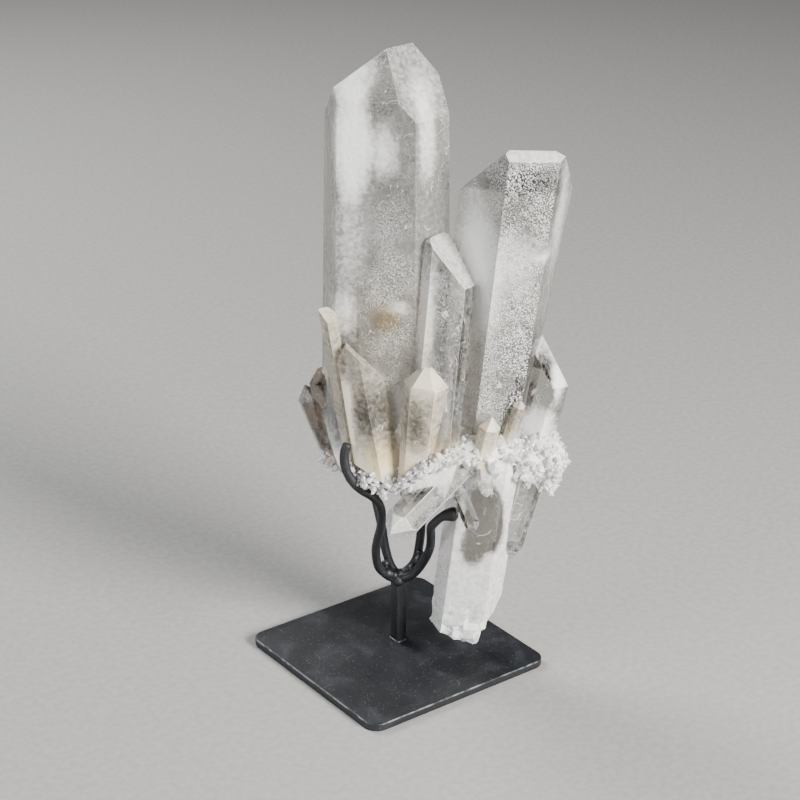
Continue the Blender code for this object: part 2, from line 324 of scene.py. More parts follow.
@dataclass(frozen=True)
class NaturalQuartz:
    """Rock crystal as it grew: a clear body under flat faces with fine growth marks.

    It gives the eye mirror-like faces and bright edges over a glassy depth, and a soft dull
    white wherever it is milky. The white of the edges is a painted highlight, and so is the white
    laid on some faces and patches where the lamps glint.

    The habit attribute says where the crystal turns milky (red), where its skin is frosted (green)
    and where iron tints it (blue); in some places the red is partly a painted highlight. The growth
    attribute gives each face its own coordinates: across the crystal, along it, and out from its axis.
    """

    body: str = "#FBFAF7"
    # The milky white, which on some edges, faces and patches is also a painted highlight.
    milk: str = "#F6F6F5"
    iron: str = "#DEC894"
    absorbed: str = "#D2CFCA"
    density: float = 75.0
    cloud_size: float = 6.5 * MM
    mottle_size: float = 1.9 * MM
    crack_size: float = 11.0 * MM
    hair_size: float = 4.0 * MM
    pit_size: float = 0.48 * MM
    fine_pit_size: float = 0.30 * MM
    etch_blotch: float = 11.0 * MM
    streak_width: float = 1.1 * MM
    step_width: float = 0.7 * MM
    crumb_size: float = 1.6 * MM
    wave_size: float = 9.0 * MM

    def material(self) -> bpy.types.Material:
        """Builds the finish.

        Returns:
            The material.
        """
        look = Look.named("natural_quartz")
        growth = look.add("Attribute", output="Vector", attribute_name="growth")
        habit = look.add("Attribute", output="Color", attribute_name="habit")
        place = look.add("TexCoord", output="Object")
        milk, frost, iron = look.add("SeparateColor", (habit,)).node.outputs

        etched = self.etching(look, place, frost)
        inside = (self.milkiness(look, growth, place, milk), self.hairs(look, place))
        white = look.add("Math", inside, operation="MAXIMUM")
        white = look.add("Math", (white, etched), operation="MAXIMUM")
        rusty = look.add("MapRange", (iron, 0.0, 1.0), **SMOOTH)
        clear_mix = {SHARE: rusty, FIRST: linear(self.body), SECOND: linear(self.iron)}
        milk_mix = {SHARE: rusty, FIRST: linear(self.milk), SECOND: linear(self.iron)}
        clear_tint = look.add("Mix", clear_mix, MIXED, **COLOURS)
        milk_tint = look.add("Mix", milk_mix, MIXED, **COLOURS)
        tint = {SHARE: white, FIRST: clear_tint, SECOND: milk_tint}
        inputs = {
            "Base Color": look.add("Mix", tint, MIXED, **COLOURS),
            "Roughness": look.add("Math", (white, 0.38, 0.03), operation="MULTIPLY_ADD"),
            "Transmission Weight": look.add("Math", (white, -0.88, 1.0), operation="MULTIPLY_ADD"),
            "Normal": self.skin(look, growth, place, milk, etched),
            "IOR": QUARTZ_INDEX,
        }
        look.feed(look.shader, inputs)
        return look.filled(self.absorbed, self.density)

    def milkiness(self, look: Look, growth: Socket, place: Socket, milk: Socket) -> Socket:
        """Makes the white haze inside, a cloud of tiny bubbles of fluid.

        It is broad blotches drawn out along the crystal, with a little fine mottling.

        Args:
            look: The look.
            growth: The crystal's own coordinates.
            place: The part's coordinates.
            milk: How milky the place is, with the painted highlights that ride on it.

        Returns:
            How white the haze is.
        """
        drawn_out = look.add("VectorMath", (growth, (1.0, 0.45, 1.0)), operation="MULTIPLY")
        cloud = {"Vector": drawn_out, "Scale": 1 / self.cloud_size, "Detail": 5.0, "Distortion": 0.4}
        mottle = {"Vector": place, "Scale": 1 / self.mottle_size, "Detail": 4.0, "Distortion": 0.4}
        clouds = look.add("TexNoise", cloud)
        both = look.add("Math", (look.add("TexNoise", mottle), 0.5, clouds), operation="MULTIPLY_ADD")
        # The first noise averages a half and the second a quarter.
        uneven = look.add("Math", (both, 0.75), operation="SUBTRACT")
        hazy = look.add("Math", (milk, uneven), operation="ADD")
        return look.add("MapRange", (hazy, 0.14, 0.98), **SMOOTH)

    def hairs(self, look: Look, place: Socket) -> Socket:
        """Draws healed cracks and hair-like channels as white threads, coarse and fine.

        Args:
            look: The look.
            place: The part's coordinates.

        Returns:
            How white the threads are.
        """
        drawn_out = look.add("VectorMath", (place, (1.0, 1.0, 0.6)), operation="MULTIPLY")
        cracks = look.threads(place, self.crack_size, 0.008)
        hairs = look.threads(drawn_out, self.hair_size, 0.014)
        both = look.add("Math", (cracks, hairs), operation="MAXIMUM")
        return look.add("Math", (both, 0.6), operation="MULTIPLY")

    def etching(self, look: Look, place: Socket, frost: Socket) -> Socket:
        """Etches a frosted face to salt and pepper: white pits beside clear ones.

        Args:
            look: The look.
            place: The part's coordinates.
            frost: How frosted the place is.

        Returns:
            How white the pits are.
        """
        coarse = look.add("TexNoise", {"Vector": place, "Scale": 1 / self.pit_size, "Detail": 4.0})
        fine = look.add("TexNoise", {"Vector": place, "Scale": 1 / self.fine_pit_size})
        blotch = look.add("TexNoise", {"Vector": place, "Scale": 1 / self.etch_blotch, "Detail": 3.0})
        pits = {
            SHARE: look.add("MapRange", (frost, 0.35, 0.75), **SMOOTH),
            FIRST: look.add("MapRange", (fine, 0.44, 0.62), **SMOOTH),
            SECOND: look.add("MapRange", (coarse, 0.48, 0.60), **SMOOTH),
        }
        thick = look.add("MapRange", (blotch, 0.30, 0.62), **SMOOTH)
        share = look.add("Math", (thick, 0.55, 0.4), operation="MULTIPLY_ADD")
        frosted = look.add("MapRange", (frost, 0.0, 0.7), **SMOOTH)
        pitted = look.add("Mix", pits, MIXED, **COLOURS)
        etched = look.add("Math", (pitted, frosted), operation="MULTIPLY")
        return look.add("Math", (etched, share), operation="MULTIPLY")

    def skin(self, look: Look, growth: Socket, place: Socket, milk: Socket, etched: Socket) -> Socket:
        """Shapes the skin: a slow wave, growth marks and pits, and crumbs where it is all milk.

        The growth marks are streaks along the crystal, and fine steps across its prism faces.

        Args:
            look: The look.
            growth: The crystal's own coordinates.
            place: The part's coordinates.
            milk: How milky the place is.
            etched: How white its pits are.

        Returns:
            The skin's normal.
        """
        along = look.add("VectorMath", (growth, (1.0, 0.03, 1.0)), operation="MULTIPLY")
        across = look.add("VectorMath", (growth, (0.05, 1.0, 1.0)), operation="MULTIPLY")
        streaks = look.add("TexNoise", {"Vector": along, "Scale": 1 / self.streak_width})
        steps = look.add("TexNoise", {"Vector": across, "Scale": 1 / self.step_width})
        relief = look.add("Math", (streaks, 0.35), operation="MULTIPLY")
        relief = look.add("Math", (steps, 0.25, relief), operation="MULTIPLY_ADD")
        relief = look.add("Math", (etched, 0.4, relief), operation="MULTIPLY_ADD")
        waves = look.add("TexNoise", {"Vector": place, "Scale": 1 / self.wave_size, "Detail": 1.0})
        crumbs = look.add("TexNoise", {"Vector": place, "Scale": 1 / self.crumb_size, "Detail": 4.0})
        massive = look.add("MapRange", (milk, 0.7, 0.95), **SMOOTH)
        crumbly = look.add("Math", (massive, crumbs), operation="MULTIPLY")
        wavy = look.add("Bump", {"Height": waves, "Strength": 0.30, "Distance": 0.9 * MM})
        marks = {"Height": relief, "Strength": 0.16, "Distance": 0.30 * MM, "Normal": wavy}
        marked = look.add("Bump", marks)
        broken = {"Height": crumbly, "Strength": 0.5, "Distance": 0.5 * MM, "Normal": marked}
        return look.add("Bump", broken)


@dataclass(frozen=True)
class SmokyQuartz:
    """Smoky quartz: rock crystal that natural radiation turned brown, under a rough, cloudy skin.

    It looks like warm brown glass, darkest where it is thick.
    """

    skin: str = "#93806B"
    clear: str = "#EFE7DC"
    absorbed: str = "#B29572"
    density: float = 190.0
    cloud_size: float = 7.0 * MM
    pit_size: float = 0.5 * MM

    def material(self) -> bpy.types.Material:
        """Builds the finish.

        Returns:
            The material.
        """
        look = Look.named("smoky_quartz")
        place = look.add("TexCoord", output="Object")
        cloud = {"Vector": place, "Scale": 1 / self.cloud_size, "Detail": 4.0, "Distortion": 0.2}
        clouds = look.add("TexNoise", cloud)
        film = look.add("MapRange", (clouds, 0.34, 0.68), **SMOOTH)
        pits = look.add("TexNoise", {"Vector": place, "Scale": 1 / self.pit_size})
        cloudy = look.add("Bump", {"Height": clouds, "Strength": 0.2, "Distance": 0.5 * MM})
        pitted = {"Height": pits, "Strength": 0.25, "Distance": 0.2 * MM, "Normal": cloudy}
        tint = {SHARE: film, FIRST: linear(self.clear), SECOND: linear(self.skin)}
        inputs = {
            "Base Color": look.add("Mix", tint, MIXED, **COLOURS),
            "Roughness": look.add("Math", (film, 0.3, 0.06), operation="MULTIPLY_ADD"),
            "Transmission Weight": look.add("Math", (film, -0.6, 1.0), operation="MULTIPLY_ADD"),
            "Normal": look.add("Bump", pitted),
            "IOR": QUARTZ_INDEX,
        }
        look.feed(look.shader, inputs)
        return look.filled(self.absorbed, self.density)


@dataclass(frozen=True)
class SugaryQuartz:
    """Massive white quartz, broken and crumbly: small grains that scatter light and glint."""

    white: str = "#F8F7F5"
    stained: str = "#DDCDAB"
    stain_size: float = 7.0 * MM
    grain_size: float = 0.5 * MM

    def material(self) -> bpy.types.Material:
        """Builds the finish.

        Returns:
            The material.
        """
        look = Look.named("sugary_quartz")
        place = look.add("TexCoord", output="Object")
        blotch = look.add("TexNoise", {"Vector": place, "Scale": 1 / self.stain_size, "Detail": 3.0})
        edge = look.add("MapRange", (blotch, 0.55, 0.72), **SMOOTH)
        stain = look.add("Math", (edge, 0.7), operation="MULTIPLY")
        fine = look.add("TexNoise", {"Vector": place, "Scale": 1 / self.grain_size})
        clear = look.add("MapRange", (fine, 0.38, 0.62), **SMOOTH)
        tint = {SHARE: stain, FIRST: linear(self.white), SECOND: linear(self.stained)}
        inputs = {
            "Base Color": look.add("Mix", tint, MIXED, **COLOURS),
            "Roughness": look.add("Math", (fine, 0.4, 0.05), operation="MULTIPLY_ADD"),
            "Transmission Weight": look.add("Math", (clear, 0.75), operation="MULTIPLY"),
            "Normal": look.add("Bump", {"Height": fine, "Strength": 0.2, "Distance": 0.15 * MM}),
            "IOR": QUARTZ_INDEX,
        }
        look.feed(look.shader, inputs)
        return look.material


@dataclass(frozen=True)
class HealedFracture:
    """An old crack that healed, leaving a sheet of bubbles and thin air gaps that flash white."""

    film: str = "#FCFCFC"
    grey: str = "#CFCDC8"
    bubble_size: float = 1.2 * MM
    roughness: float = 0.22

    def material(self) -> bpy.types.Material:
        """Builds the finish.

        Returns:
            The material.
        """
        look = Look.named("healed_fracture")
        place = look.add("TexCoord", output="Object")
        bubbles = look.add("TexNoise", {"Vector": place, "Scale": 1 / self.bubble_size})
        shade = look.add("MapRange", (bubbles, 0.4, 0.65), **SMOOTH)
        tint = {SHARE: shade, FIRST: linear(self.grey), SECOND: linear(self.film)}
        inputs = {"Base Color": look.add("Mix", tint, MIXED, **COLOURS), "Roughness": self.roughness}
        look.feed(look.shader, inputs)
        return look.material


@dataclass(frozen=True)
class SatinBlackPaint:
    """Mild steel under brushed satin black enamel, with dust, handling scuffs, and a pale grey line along
    the top edge that is partly rubbed steel and partly a painted highlight.

    It gives a broad soft gloss over a near black, greyer where hands rubbed it.
    """

    enamel: str = "#131519"
    rubbed: str = "#2B2E33"
    # Pale grey of rubbed steel along the top edge, which is also the painted highlight there.
    bare_and_highlight: str = "#74777C"
    dust: str = "#A3A19B"
    index: float = 1.5
    half_plate: float = 44.45 * MM
    plate_top: float = 3.4 * MM
    scuff_size: float = 15.0 * MM
    scratch_size: float = 14.0 * MM
    # Real dust is about a fifth of a millimetre, and drawn coarser here to show.
    dust_size: float = 0.45 * MM
    edge_line_size: float = 6.0 * MM
    brush_size: float = 1.3 * MM

    def material(self) -> bpy.types.Material:
        """Builds the finish.

        Returns:
            The material.
        """
        look = Look.named("satin_black_paint")
        place = look.add("TexCoord", output="Object")
        patch = {"Vector": place, "Scale": 1 / self.scuff_size, "Detail": 4.0, "Distortion": 0.5}
        patches = look.add("TexNoise", patch)
        handled = look.add("MapRange", (patches, 0.50, 0.72), **SMOOTH)
        scuffs = look.add("Math", (handled, 0.6), operation="MULTIPLY")
        lines = look.threads(place, self.scratch_size, 0.004)
        scratches = look.add("Math", (lines, scuffs), operation="MULTIPLY")
        motes = look.add("TexNoise", {"Vector": place, "Scale": 1 / self.dust_size, "Detail": 0.0})
        bright = look.add("MapRange", (motes, 0.78, 0.82), **SMOOTH)
        specks = look.add("Math", (bright, 0.32), operation="MULTIPLY")
        dusty = look.add("Math", (specks, scratches), operation="MAXIMUM")
        rubbed = {SHARE: scuffs, FIRST: linear(self.enamel), SECOND: linear(self.rubbed)}
        paint = look.add("Mix", rubbed, MIXED, **COLOURS)
        # The pale line along the plate's top edge is partly rubbed steel and partly a painted highlight.
        worn = {SHARE: self.rubbed_edge_and_highlight(look, place), FIRST: paint, SECOND: linear(self.bare_and_highlight)}
        edged = look.add("Mix", worn, MIXED, **COLOURS)
        dusted = {SHARE: dusty, FIRST: edged, SECOND: linear(self.dust)}
        strokes = look.add("TexNoise", {"Vector": place, "Scale": 1 / self.brush_size, "Detail": 3.0})
        inputs = {
            "Base Color": look.add("Mix", dusted, MIXED, **COLOURS),
            "Roughness": look.add("Math", (patches, 0.30, 0.36), operation="MULTIPLY_ADD"),
            "Normal": look.add("Bump", {"Height": strokes, "Strength": 0.16, "Distance": 0.25 * MM}),
            "IOR": self.index,
        }
        look.feed(look.shader, inputs)
        return look.material

    def rubbed_edge_and_highlight(self, look: Look, place: Socket) -> Socket:
        """Paints a pale line along the plate's top edge here and there: partly paint rubbed off, partly a
        painted highlight on that edge.

        Args:
            look: The look.
            place: The part's coordinates.

        Returns:
            How pale the edge is, as rubbed steel and painted highlight.
        """
        across, along, height = look.add("SeparateXYZ", (place,)).node.outputs
        sideways = [look.add("Math", (axis,), operation="ABSOLUTE") for axis in (across, along)]
        outermost = look.add("Math", sideways, operation="MAXIMUM")
        rim_ends = (outermost, self.half_plate - 0.5 * MM, self.half_plate - 0.1 * MM)
        arris_ends = (height, self.plate_top - 0.75 * MM, self.plate_top - 0.3 * MM)
        rim = look.add("MapRange", rim_ends, **SMOOTH)
        arris = look.add("MapRange", arris_ends, **SMOOTH)
        edge_line_noise = look.add("TexNoise", {"Vector": place, "Scale": 1 / self.edge_line_size, "Detail": 4.0})
        uneven = look.add("MapRange", (edge_line_noise, 0.36, 0.58), **SMOOTH)
        edge = look.add("Math", (rim, arris), operation="MULTIPLY")
        return look.add("Math", (edge, uneven), operation="MULTIPLY")


@dataclass(frozen=True)
class PaleFloor:
    """A matt pale card, with no mark but a faint fibre, which takes soft shadows and mirrors nothing."""

    card: str = "#9A9996"
    fibre: str = "#A3A29F"
    fibre_size: float = 3.0 * MM
    roughness: float = 0.8

    def material(self) -> bpy.types.Material:
        """Builds the finish.

        Returns:
            The material.
        """
        look = Look.named("pale_card")
        place = look.add("TexCoord", output="Object")
        pulp = look.add("TexNoise", {"Vector": place, "Scale": 1 / self.fibre_size, "Detail": 4.0})
        fibre = look.add("MapRange", (pulp, 0.3, 0.7), **SMOOTH)
        tint = {SHARE: fibre, FIRST: linear(self.card), SECOND: linear(self.fibre)}
        inputs = {"Base Color": look.add("Mix", tint, MIXED, **COLOURS), "Roughness": self.roughness}
        look.feed(look.shader, inputs)
        return look.material


# The stone


class Habit(Enum):
    """How a crystal looks as a whole: how milky it is, and how much iron tints it."""

    CLEAR = (0.20, 0.02)
    HAZY = (0.34, 0.05)
    WARM = (0.46, 0.46)
    CREAM = (0.56, 0.52)
    MILKY = (0.72, 0.03)
    MATRIX = (0.95, 0.06)


class Channel(Enum):
    """What a patch changes."""

    MILK = 0
    FROST = 1
    IRON = 2


@dataclass(frozen=True)
class Crystal:
    """One quartz crystal, in the display frame.

    Its axis runs from root to tip. sides holds the distance of each prism face from the axis,
    measured at the tip, beginning with the face nearest the viewer and going round by way of the
    right. turn swings that first face to the right. ends holds how far below the tip the end face
    above each prism face would meet the axis, or None where it did not grow. breaks are further
    planes: turn to the right, slope off the axis, and drop below the tip. taper is the angle by
    which the prism widens towards its root. frost says how etched each prism face is, and
    end_milk_and_sheen how cloudy each end face is, and on some end faces a painted sheen, white
    laid where the lamp reflects. ridge is how many degrees a face falls away beside its growth
    ridge. root_haze says how cloudy it turns towards the matrix.
    """

    name: str
    root: Triple
    tip: Triple
    turn: float
    sides: tuple[float, ...]
    ends: tuple[float | None, ...] = (None,) * 6
    breaks: tuple[Triple, ...] = ()
    taper: float = 0.0
    habit: Habit = Habit.CLEAR
    frost: tuple[float, ...] = (0.0,) * 6
    end_milk_and_sheen: tuple[float, ...] = (0.16,) * 6
    ridge: float = 1.4
    root_haze: float = 1.0

    END_SLOPE = math.radians(38.2)
    END_STARTS = math.sin(math.radians(22))
    LEAST_STEP = math.radians(0.1)
    FACE_STEP = math.radians(60)
    SHARP = math.radians(12)
    SAME_FACE = math.cos(math.radians(14))
    BLANK = 0.8

    def axes(self) -> tuple[Vector, Vector, Vector]:
        """Finds the crystal's own directions.

        Returns:
            Its axis, its right and its back, square to one another.
        """
        axis = (Vector(self.tip) - Vector(self.root)).normalized()
        back = Vector((0, 1, 0))
        back = (back - axis * axis.dot(back)).normalized()
        return axis, back.cross(axis), back

    def outward(self, turn: float, slope: float) -> Vector:
        """Gives the outward normal of a plane.

        Args:
            turn: How far it is turned to the right.
            slope: How far it leans off the axis.

        Returns:
            The normal.
        """
        axis, right, back = self.axes()
        level = right * math.sin(turn) - back * math.cos(turn)
        return level * math.cos(slope) + axis * math.sin(slope)

    def planes(self) -> Iterator[tuple[Vector, Vector]]:
        """Lists the crystal's faces.

        Yields:
            A point on each face, and its outward normal.
        """
        axis, _, _ = self.axes()
        tip = Vector(self.tip)
        draw = random.Random(self.name)
        taper = math.radians(self.taper)
        yield Vector(self.root), -axis
        for number, (side, end) in enumerate(zip(self.sides, self.ends)):
            turn = math.radians(self.turn) + number * self.FACE_STEP
            point = tip + self.outward(turn, 0.0) * side
            yield point, self.outward(turn, taper)
            # A growth ridge: the face falls away by a degree or so on each side of a line along it.
            across = axis.cross(self.outward(turn, 0.0)) * draw.uniform(-0.5, 0.5) * side
            lean = math.radians(self.ridge) * draw.uniform(0.6, 1.2)
            yield point + across, self.outward(turn + lean, taper)
            yield point + across, self.outward(turn - lean, taper)
            if end is not None:
                yield tip - axis * end, self.outward(turn, self.END_SLOPE)
        for turn, slope, drop in self.breaks:
            yield tip - axis * drop, self.outward(math.radians(turn), math.radians(slope))

    def face_number(self, normal: Vector) -> tuple[int, bool, bool]:
        """Tells which face a normal belongs to.

        Args:
            normal: The face's outward normal.

        Returns:
            The number of its prism face, whether it is the end face above it, and whether it is
            neither of the two but a worn edge or a break.
        """
        axis, right, back = self.axes()
        turn = math.degrees(math.atan2(normal.dot(right), -normal.dot(back)))
        number = round((turn - self.turn) / math.degrees(self.FACE_STEP)) % 6
        is_end = normal.dot(axis) > self.END_STARTS
        facing = math.radians(self.turn) + number * self.FACE_STEP
        true_normal = self.outward(facing, self.END_SLOPE if is_end else math.radians(self.taper))
        return number, is_end, normal.dot(true_normal) < self.SAME_FACE

    def mesh(self, edge: float) -> bpy.types.Mesh:
        """Cuts a block down to the crystal.

        Args:
            edge: The width of the worn strip along each edge.

        Returns:
            The mesh, in the display frame.
        """
        bm = bmesh.new()
        bmesh.ops.create_cube(bm, size=self.BLANK)
        bmesh.ops.translate(bm, vec=self.root, verts=bm.verts)
        for point, normal in self.planes():
            cut_off(bm, point, normal)
        bmesh.ops.dissolve_limit(bm, angle_limit=self.LEAST_STEP, verts=bm.verts, edges=bm.edges)
        sharp = [side for side in bm.edges if side.calc_face_angle(0.0) > self.SHARP]
        bmesh.ops.bevel(bm, geom=sharp, offset=edge, segments=1, affect="EDGES", clamp_overlap=True)
        return mesh_from(bm, self.name)


def cut_off(bm: bmesh.types.BMesh, point: Vector, normal: Vector) -> None:
    """Cuts away what lies outside a plane, and closes the cut.

    Args:
        bm: The closed mesh that is cut.
        point: A point on the plane.
        normal: The plane's outward normal.
    """
    cut = bmesh.ops.bisect_plane(
        bm,
        geom=[*bm.verts, *bm.edges, *bm.faces],
        dist=1e-7,
        plane_co=point,
        plane_no=normal,
        clear_outer=True,
    )
    rim = [part for part in cut["geom_cut"] if isinstance(part, bmesh.types.BMEdge)]
    if rim:
        bmesh.ops.contextual_create(bm, geom=rim)


def dice(mesh: bpy.types.Mesh, cell: float) -> None:
    """Divides a mesh's faces along a square grid, so that they can be painted.

    Args:
        mesh: The mesh.
        cell: The size of one cell.
    """
    bm = bmesh.new()
    bm.from_mesh(mesh)
    for k in range(3):
        low = min(vert.co[k] for vert in bm.verts)
        high = max(vert.co[k] for vert in bm.verts)
        normal = Vector((k == 0, k == 1, k == 2))
        for number in range(1, int((high - low) / cell) + 1):
            bmesh.ops.bisect_plane(
                bm,
                geom=[*bm.verts, *bm.edges, *bm.faces],
                dist=1e-6,
                plane_co=normal * (low + number * cell),
                plane_no=normal,
            )
    bm.to_mesh(mesh)
    bm.free()


CRYSTALS = (
    Crystal(
        "tall_crystal",
        root=(-0.0040, 0.0020, 0.086),
        tip=(-0.0032, 0.0100, 0.262),
        turn=-11.5,
        sides=(0.0166, 0.0203, 0.0199, 0.0180, 0.0190, 0.0222),
        ends=(0.0013, 0.0034, -0.0088, -0.0080, 0.0073, None),
        breaks=((-90, -24, 0.212), (175, -30, 0.226), (20, -12, 0.245)),
        taper=0.85,
        habit=Habit.HAZY,
        frost=(0.26, 0.26, 0.0, 0.0, 0.0, 0.10),
        end_milk_and_sheen=(0.02, 0.14, 0.3, 0.3, 0.3, 0.3),
    ),
    Crystal(
        "frosted_crystal",
        root=(0.0330, 0.0045, 0.084),
        tip=(0.0465, -0.0070, 0.220),
        turn=11.5,
        sides=(0.0130, 0.0165, 0.0400, 0.0140, 0.0220, 0.0135),
        ends=(-0.0190, -0.0235, None, None, -0.0080, None),
        breaks=((131.5, -10.7, 0.1788), (191.5, 44.6, 0.0044), (150, -25, 0.196)),
        taper=-0.9,
        habit=Habit.HAZY,
        frost=(1.0, 0.0, 0.10, 0.05, 0.25, 0.62),
        end_milk_and_sheen=(0.32, 0.36, 0.2, 0.2, 0.2, 0.1),
        ridge=0.7,
    ),
    Crystal(
        "centre_crystal",
        root=(0.0095, -0.0180, 0.084),
        tip=(0.0192, -0.0050, 0.195),
        turn=3.5,
        sides=(0.0095, 0.0120, 0.0109, 0.0075, 0.0080, 0.0096),
        ends=(-0.0012, 0.0106, -0.0010, -0.0085, 0.0040, -0.0030),
        habit=Habit.HAZY,
        frost=(0.35, 0.0, 0.0, 0.0, 0.0, 0.0),
        # The right-sloping end face (the second) is whitened as a painted sheen, the lamp's reflection on
        # it.
        end_milk_and_sheen=(0.1, 0.30, 0.1, 0.1, 0.1, 0.1),
    ),
    Crystal(
        "short_crystal",
        root=(0.0072, -0.0200, 0.085),
        tip=(0.0126, -0.0200, 0.1470),
        turn=-12,
        sides=(0.0075, 0.0082, 0.0082, 0.0080, 0.0078, 0.0082),
        ends=(0.0052,) * 6,
        breaks=((0, 86, 0.0075),),
        taper=-1.6,
        habit=Habit.CREAM,
    ),
    Crystal(
        "left_spike",
        root=(-0.0155, -0.0120, 0.086),
        tip=(-0.0275, -0.0090, 0.163),
        turn=15,
        sides=(0.0035, 0.0030, 0.0030, 0.0035, 0.0030, 0.0030),
        ends=(0.0040, 0.0030, 0.0030, 0.0030, 0.0, 0.0),
        breaks=((-70, -35, 0.071),),
        taper=0.5,
        habit=Habit.CREAM,
    ),
    Crystal(
        "left_crystal",
        root=(-0.0050, -0.0140, 0.082),
        tip=(-0.0170, -0.0110, 0.153),
        turn=-25,
        sides=(0.0070, 0.0070, 0.0075, 0.0060, 0.0080, 0.0080),
        ends=(-0.0060, 0.0010, 0.0120, 0.0, 0.0040, 0.0020),
        breaks=((-65, -42, 0.067),),
        taper=1.5,
        habit=Habit.WARM,
    ),
    Crystal(
        "front_crystal",
        root=(0.0240, -0.0090, 0.092),
        tip=(-0.0050, -0.0420, 0.0755),
        turn=0,
        sides=(0.0068,) * 6,
        ends=(0.0010, 0.0, 0.0030, 0.0010, 0.0, 0.0030),
        habit=Habit.HAZY,
        frost=(0.42, 0.1, 0.1, 0.1, 0.1, 0.42),
        end_milk_and_sheen=(0.3,) * 6,
        root_haze=0.35,
    ),
    Crystal(
        "right_crystal",
        root=(0.0510, 0.0060, 0.086),
        tip=(0.0648, 0.0060, 0.1480),
        turn=-20,
        sides=(0.0078, 0.0085, 0.0085, 0.0080, 0.0070, 0.0085),
        ends=(0.0030, 0.0150, 0.0150, 0.0030, -0.0010, -0.0010),
        frost=(0.14, 0.0, 0.0, 0.0, 0.0, 0.0),
        end_milk_and_sheen=(0.25, 0.4, 0.4, 0.4, 0.4, 0.4),
    ),
    Crystal(
        "hanging_crystal",
        root=(0.0365, -0.0030, 0.096),
        tip=(0.0250, -0.0060, 0.003),
        turn=8,
        sides=(0.0100, 0.0120, 0.0120, 0.0110, 0.0125, 0.0125),
        breaks=(
            (-66, 46, 0.002),
            (70, 38, -0.0015),
            (-150, 60, 0.003),
            (60, 66, 0.0080),
            (-88, 22, -0.0048),
        ),
        taper=0.3,
        habit=Habit.MILKY,
    ),
    Crystal(
        "hanging_side_crystal",
        root=(0.0550, 0.0020, 0.096),
        tip=(0.0420, -0.0020, 0.040),
        turn=-20,
        sides=(0.0060, 0.0070, 0.0070, 0.0070, 0.0070, 0.0060),
        ends=(0.0040, 0.0050, 0.0020, 0.0040, 0.0, 0.0040),
        taper=3.0,
        habit=Habit.HAZY,
        ridge=3.0,
        root_haze=0.6,
    ),
    Crystal(
        "small_clear_crystal",
        root=(0.0215, -0.0120, 0.089),
        tip=(0.0313, -0.0240, 0.0690),
        turn=0,
        sides=(0.0026,) * 6,
        ends=(0.0010, 0.0, 0.0010, 0.0010, 0.0, 0.0010),
        taper=1.0,
    ),
    Crystal(
        "small_point",
        root=(0.0340, -0.0130, 0.098),
        tip=(0.0355, -0.0220, 0.083),
        turn=0,
        sides=(0.0024,) * 6,
        ends=(0.0010, 0.0, 0.0010, 0.0010, 0.0, 0.0010),
        taper=1.0,
    ),
    Crystal(
        "white_block",
        root=(0.0375, -0.0120, 0.090),
        tip=(0.0395, -0.0220, 0.099),
        turn=12,
        sides=(0.0028,) * 6,
        ends=(0.0010,) * 6,
        breaks=((0, 80, 0.0020),),
        habit=Habit.MILKY,
    ),
    Crystal(
        "stub_crystal",
        root=(0.0330, -0.0140, 0.095),
        tip=(0.0380, -0.0170, 0.1205),
        turn=10,
        sides=(0.0038,) * 6,
        ends=(0.0040,) * 6,
        breaks=((0, 85, 0.0030),),
        habit=Habit.CREAM,
    ),
    Crystal(
        "slim_crystal",
        root=(0.0400, -0.0100, 0.092),
        tip=(0.0490, -0.0090, 0.121),
        turn=20,
        sides=(0.0022,) * 6,
        ends=(0.0010, 0.0, 0.0010, 0.0010, 0.0, 0.0010),
        habit=Habit.WARM,
    ),
    Crystal(
        "back_crystal",
        root=(0.0140, 0.0120, 0.088),
        tip=(0.0200, 0.0330, 0.146),
        turn=24,
        sides=(0.0075, 0.0080, 0.0070, 0.0075, 0.0080, 0.0070),
        ends=(0.0, 0.0060, 0.0010, 0.0050, 0.0, 0.0060),
        taper=0.8,
        habit=Habit.HAZY,
    ),
    Crystal(
        "back_small_crystal",
        root=(-0.0020, 0.0140, 0.088),
        tip=(-0.0060, 0.0350, 0.120),
        turn=5,
        sides=(0.0055,) * 6,
        ends=(0.0, 0.0030, 0.0, 0.0040, 0.0010, 0.0030),
        taper=0.8,
        habit=Habit.WARM,
    ),
)
SMOKY_PAIR = (
    Crystal(
        "smoky_crystal",
        root=(-0.0235, 0.0100, 0.088),
        tip=(-0.0305, 0.0070, 0.1310),
        turn=20,
        sides=(0.0055, 0.0050, 0.0055, 0.0050, 0.0055, 0.0055),
        ends=(0.0020,) * 6,
        breaks=((0, 84, 0.0048),),
    ),
    Crystal(
        "smoky_side_crystal",
        root=(-0.0240, 0.0150, 0.083),
        tip=(-0.0380, 0.0145, 0.1185),
        turn=-10,
        sides=(0.0045,) * 6,
        ends=(0.0020,) * 6,
        taper=1.0,
    ),
)


@dataclass(frozen=True)
class Patch:
    """A soft spot where one crystal's milk, frost or iron is more or less than elsewhere."""

    crystal: str
    channel: Channel
    centre: Triple
    radii: Triple
    amount: float

    def at(self, place: Vector) -> float:
        """Gives how much the patch adds at a place, fading to nothing at its rim."""
        reach = sum(((p - c) / r) ** 2 for p, c, r in zip(place, self.centre, self.radii))
        return self.amount * max(0.0, 1.0 - reach)


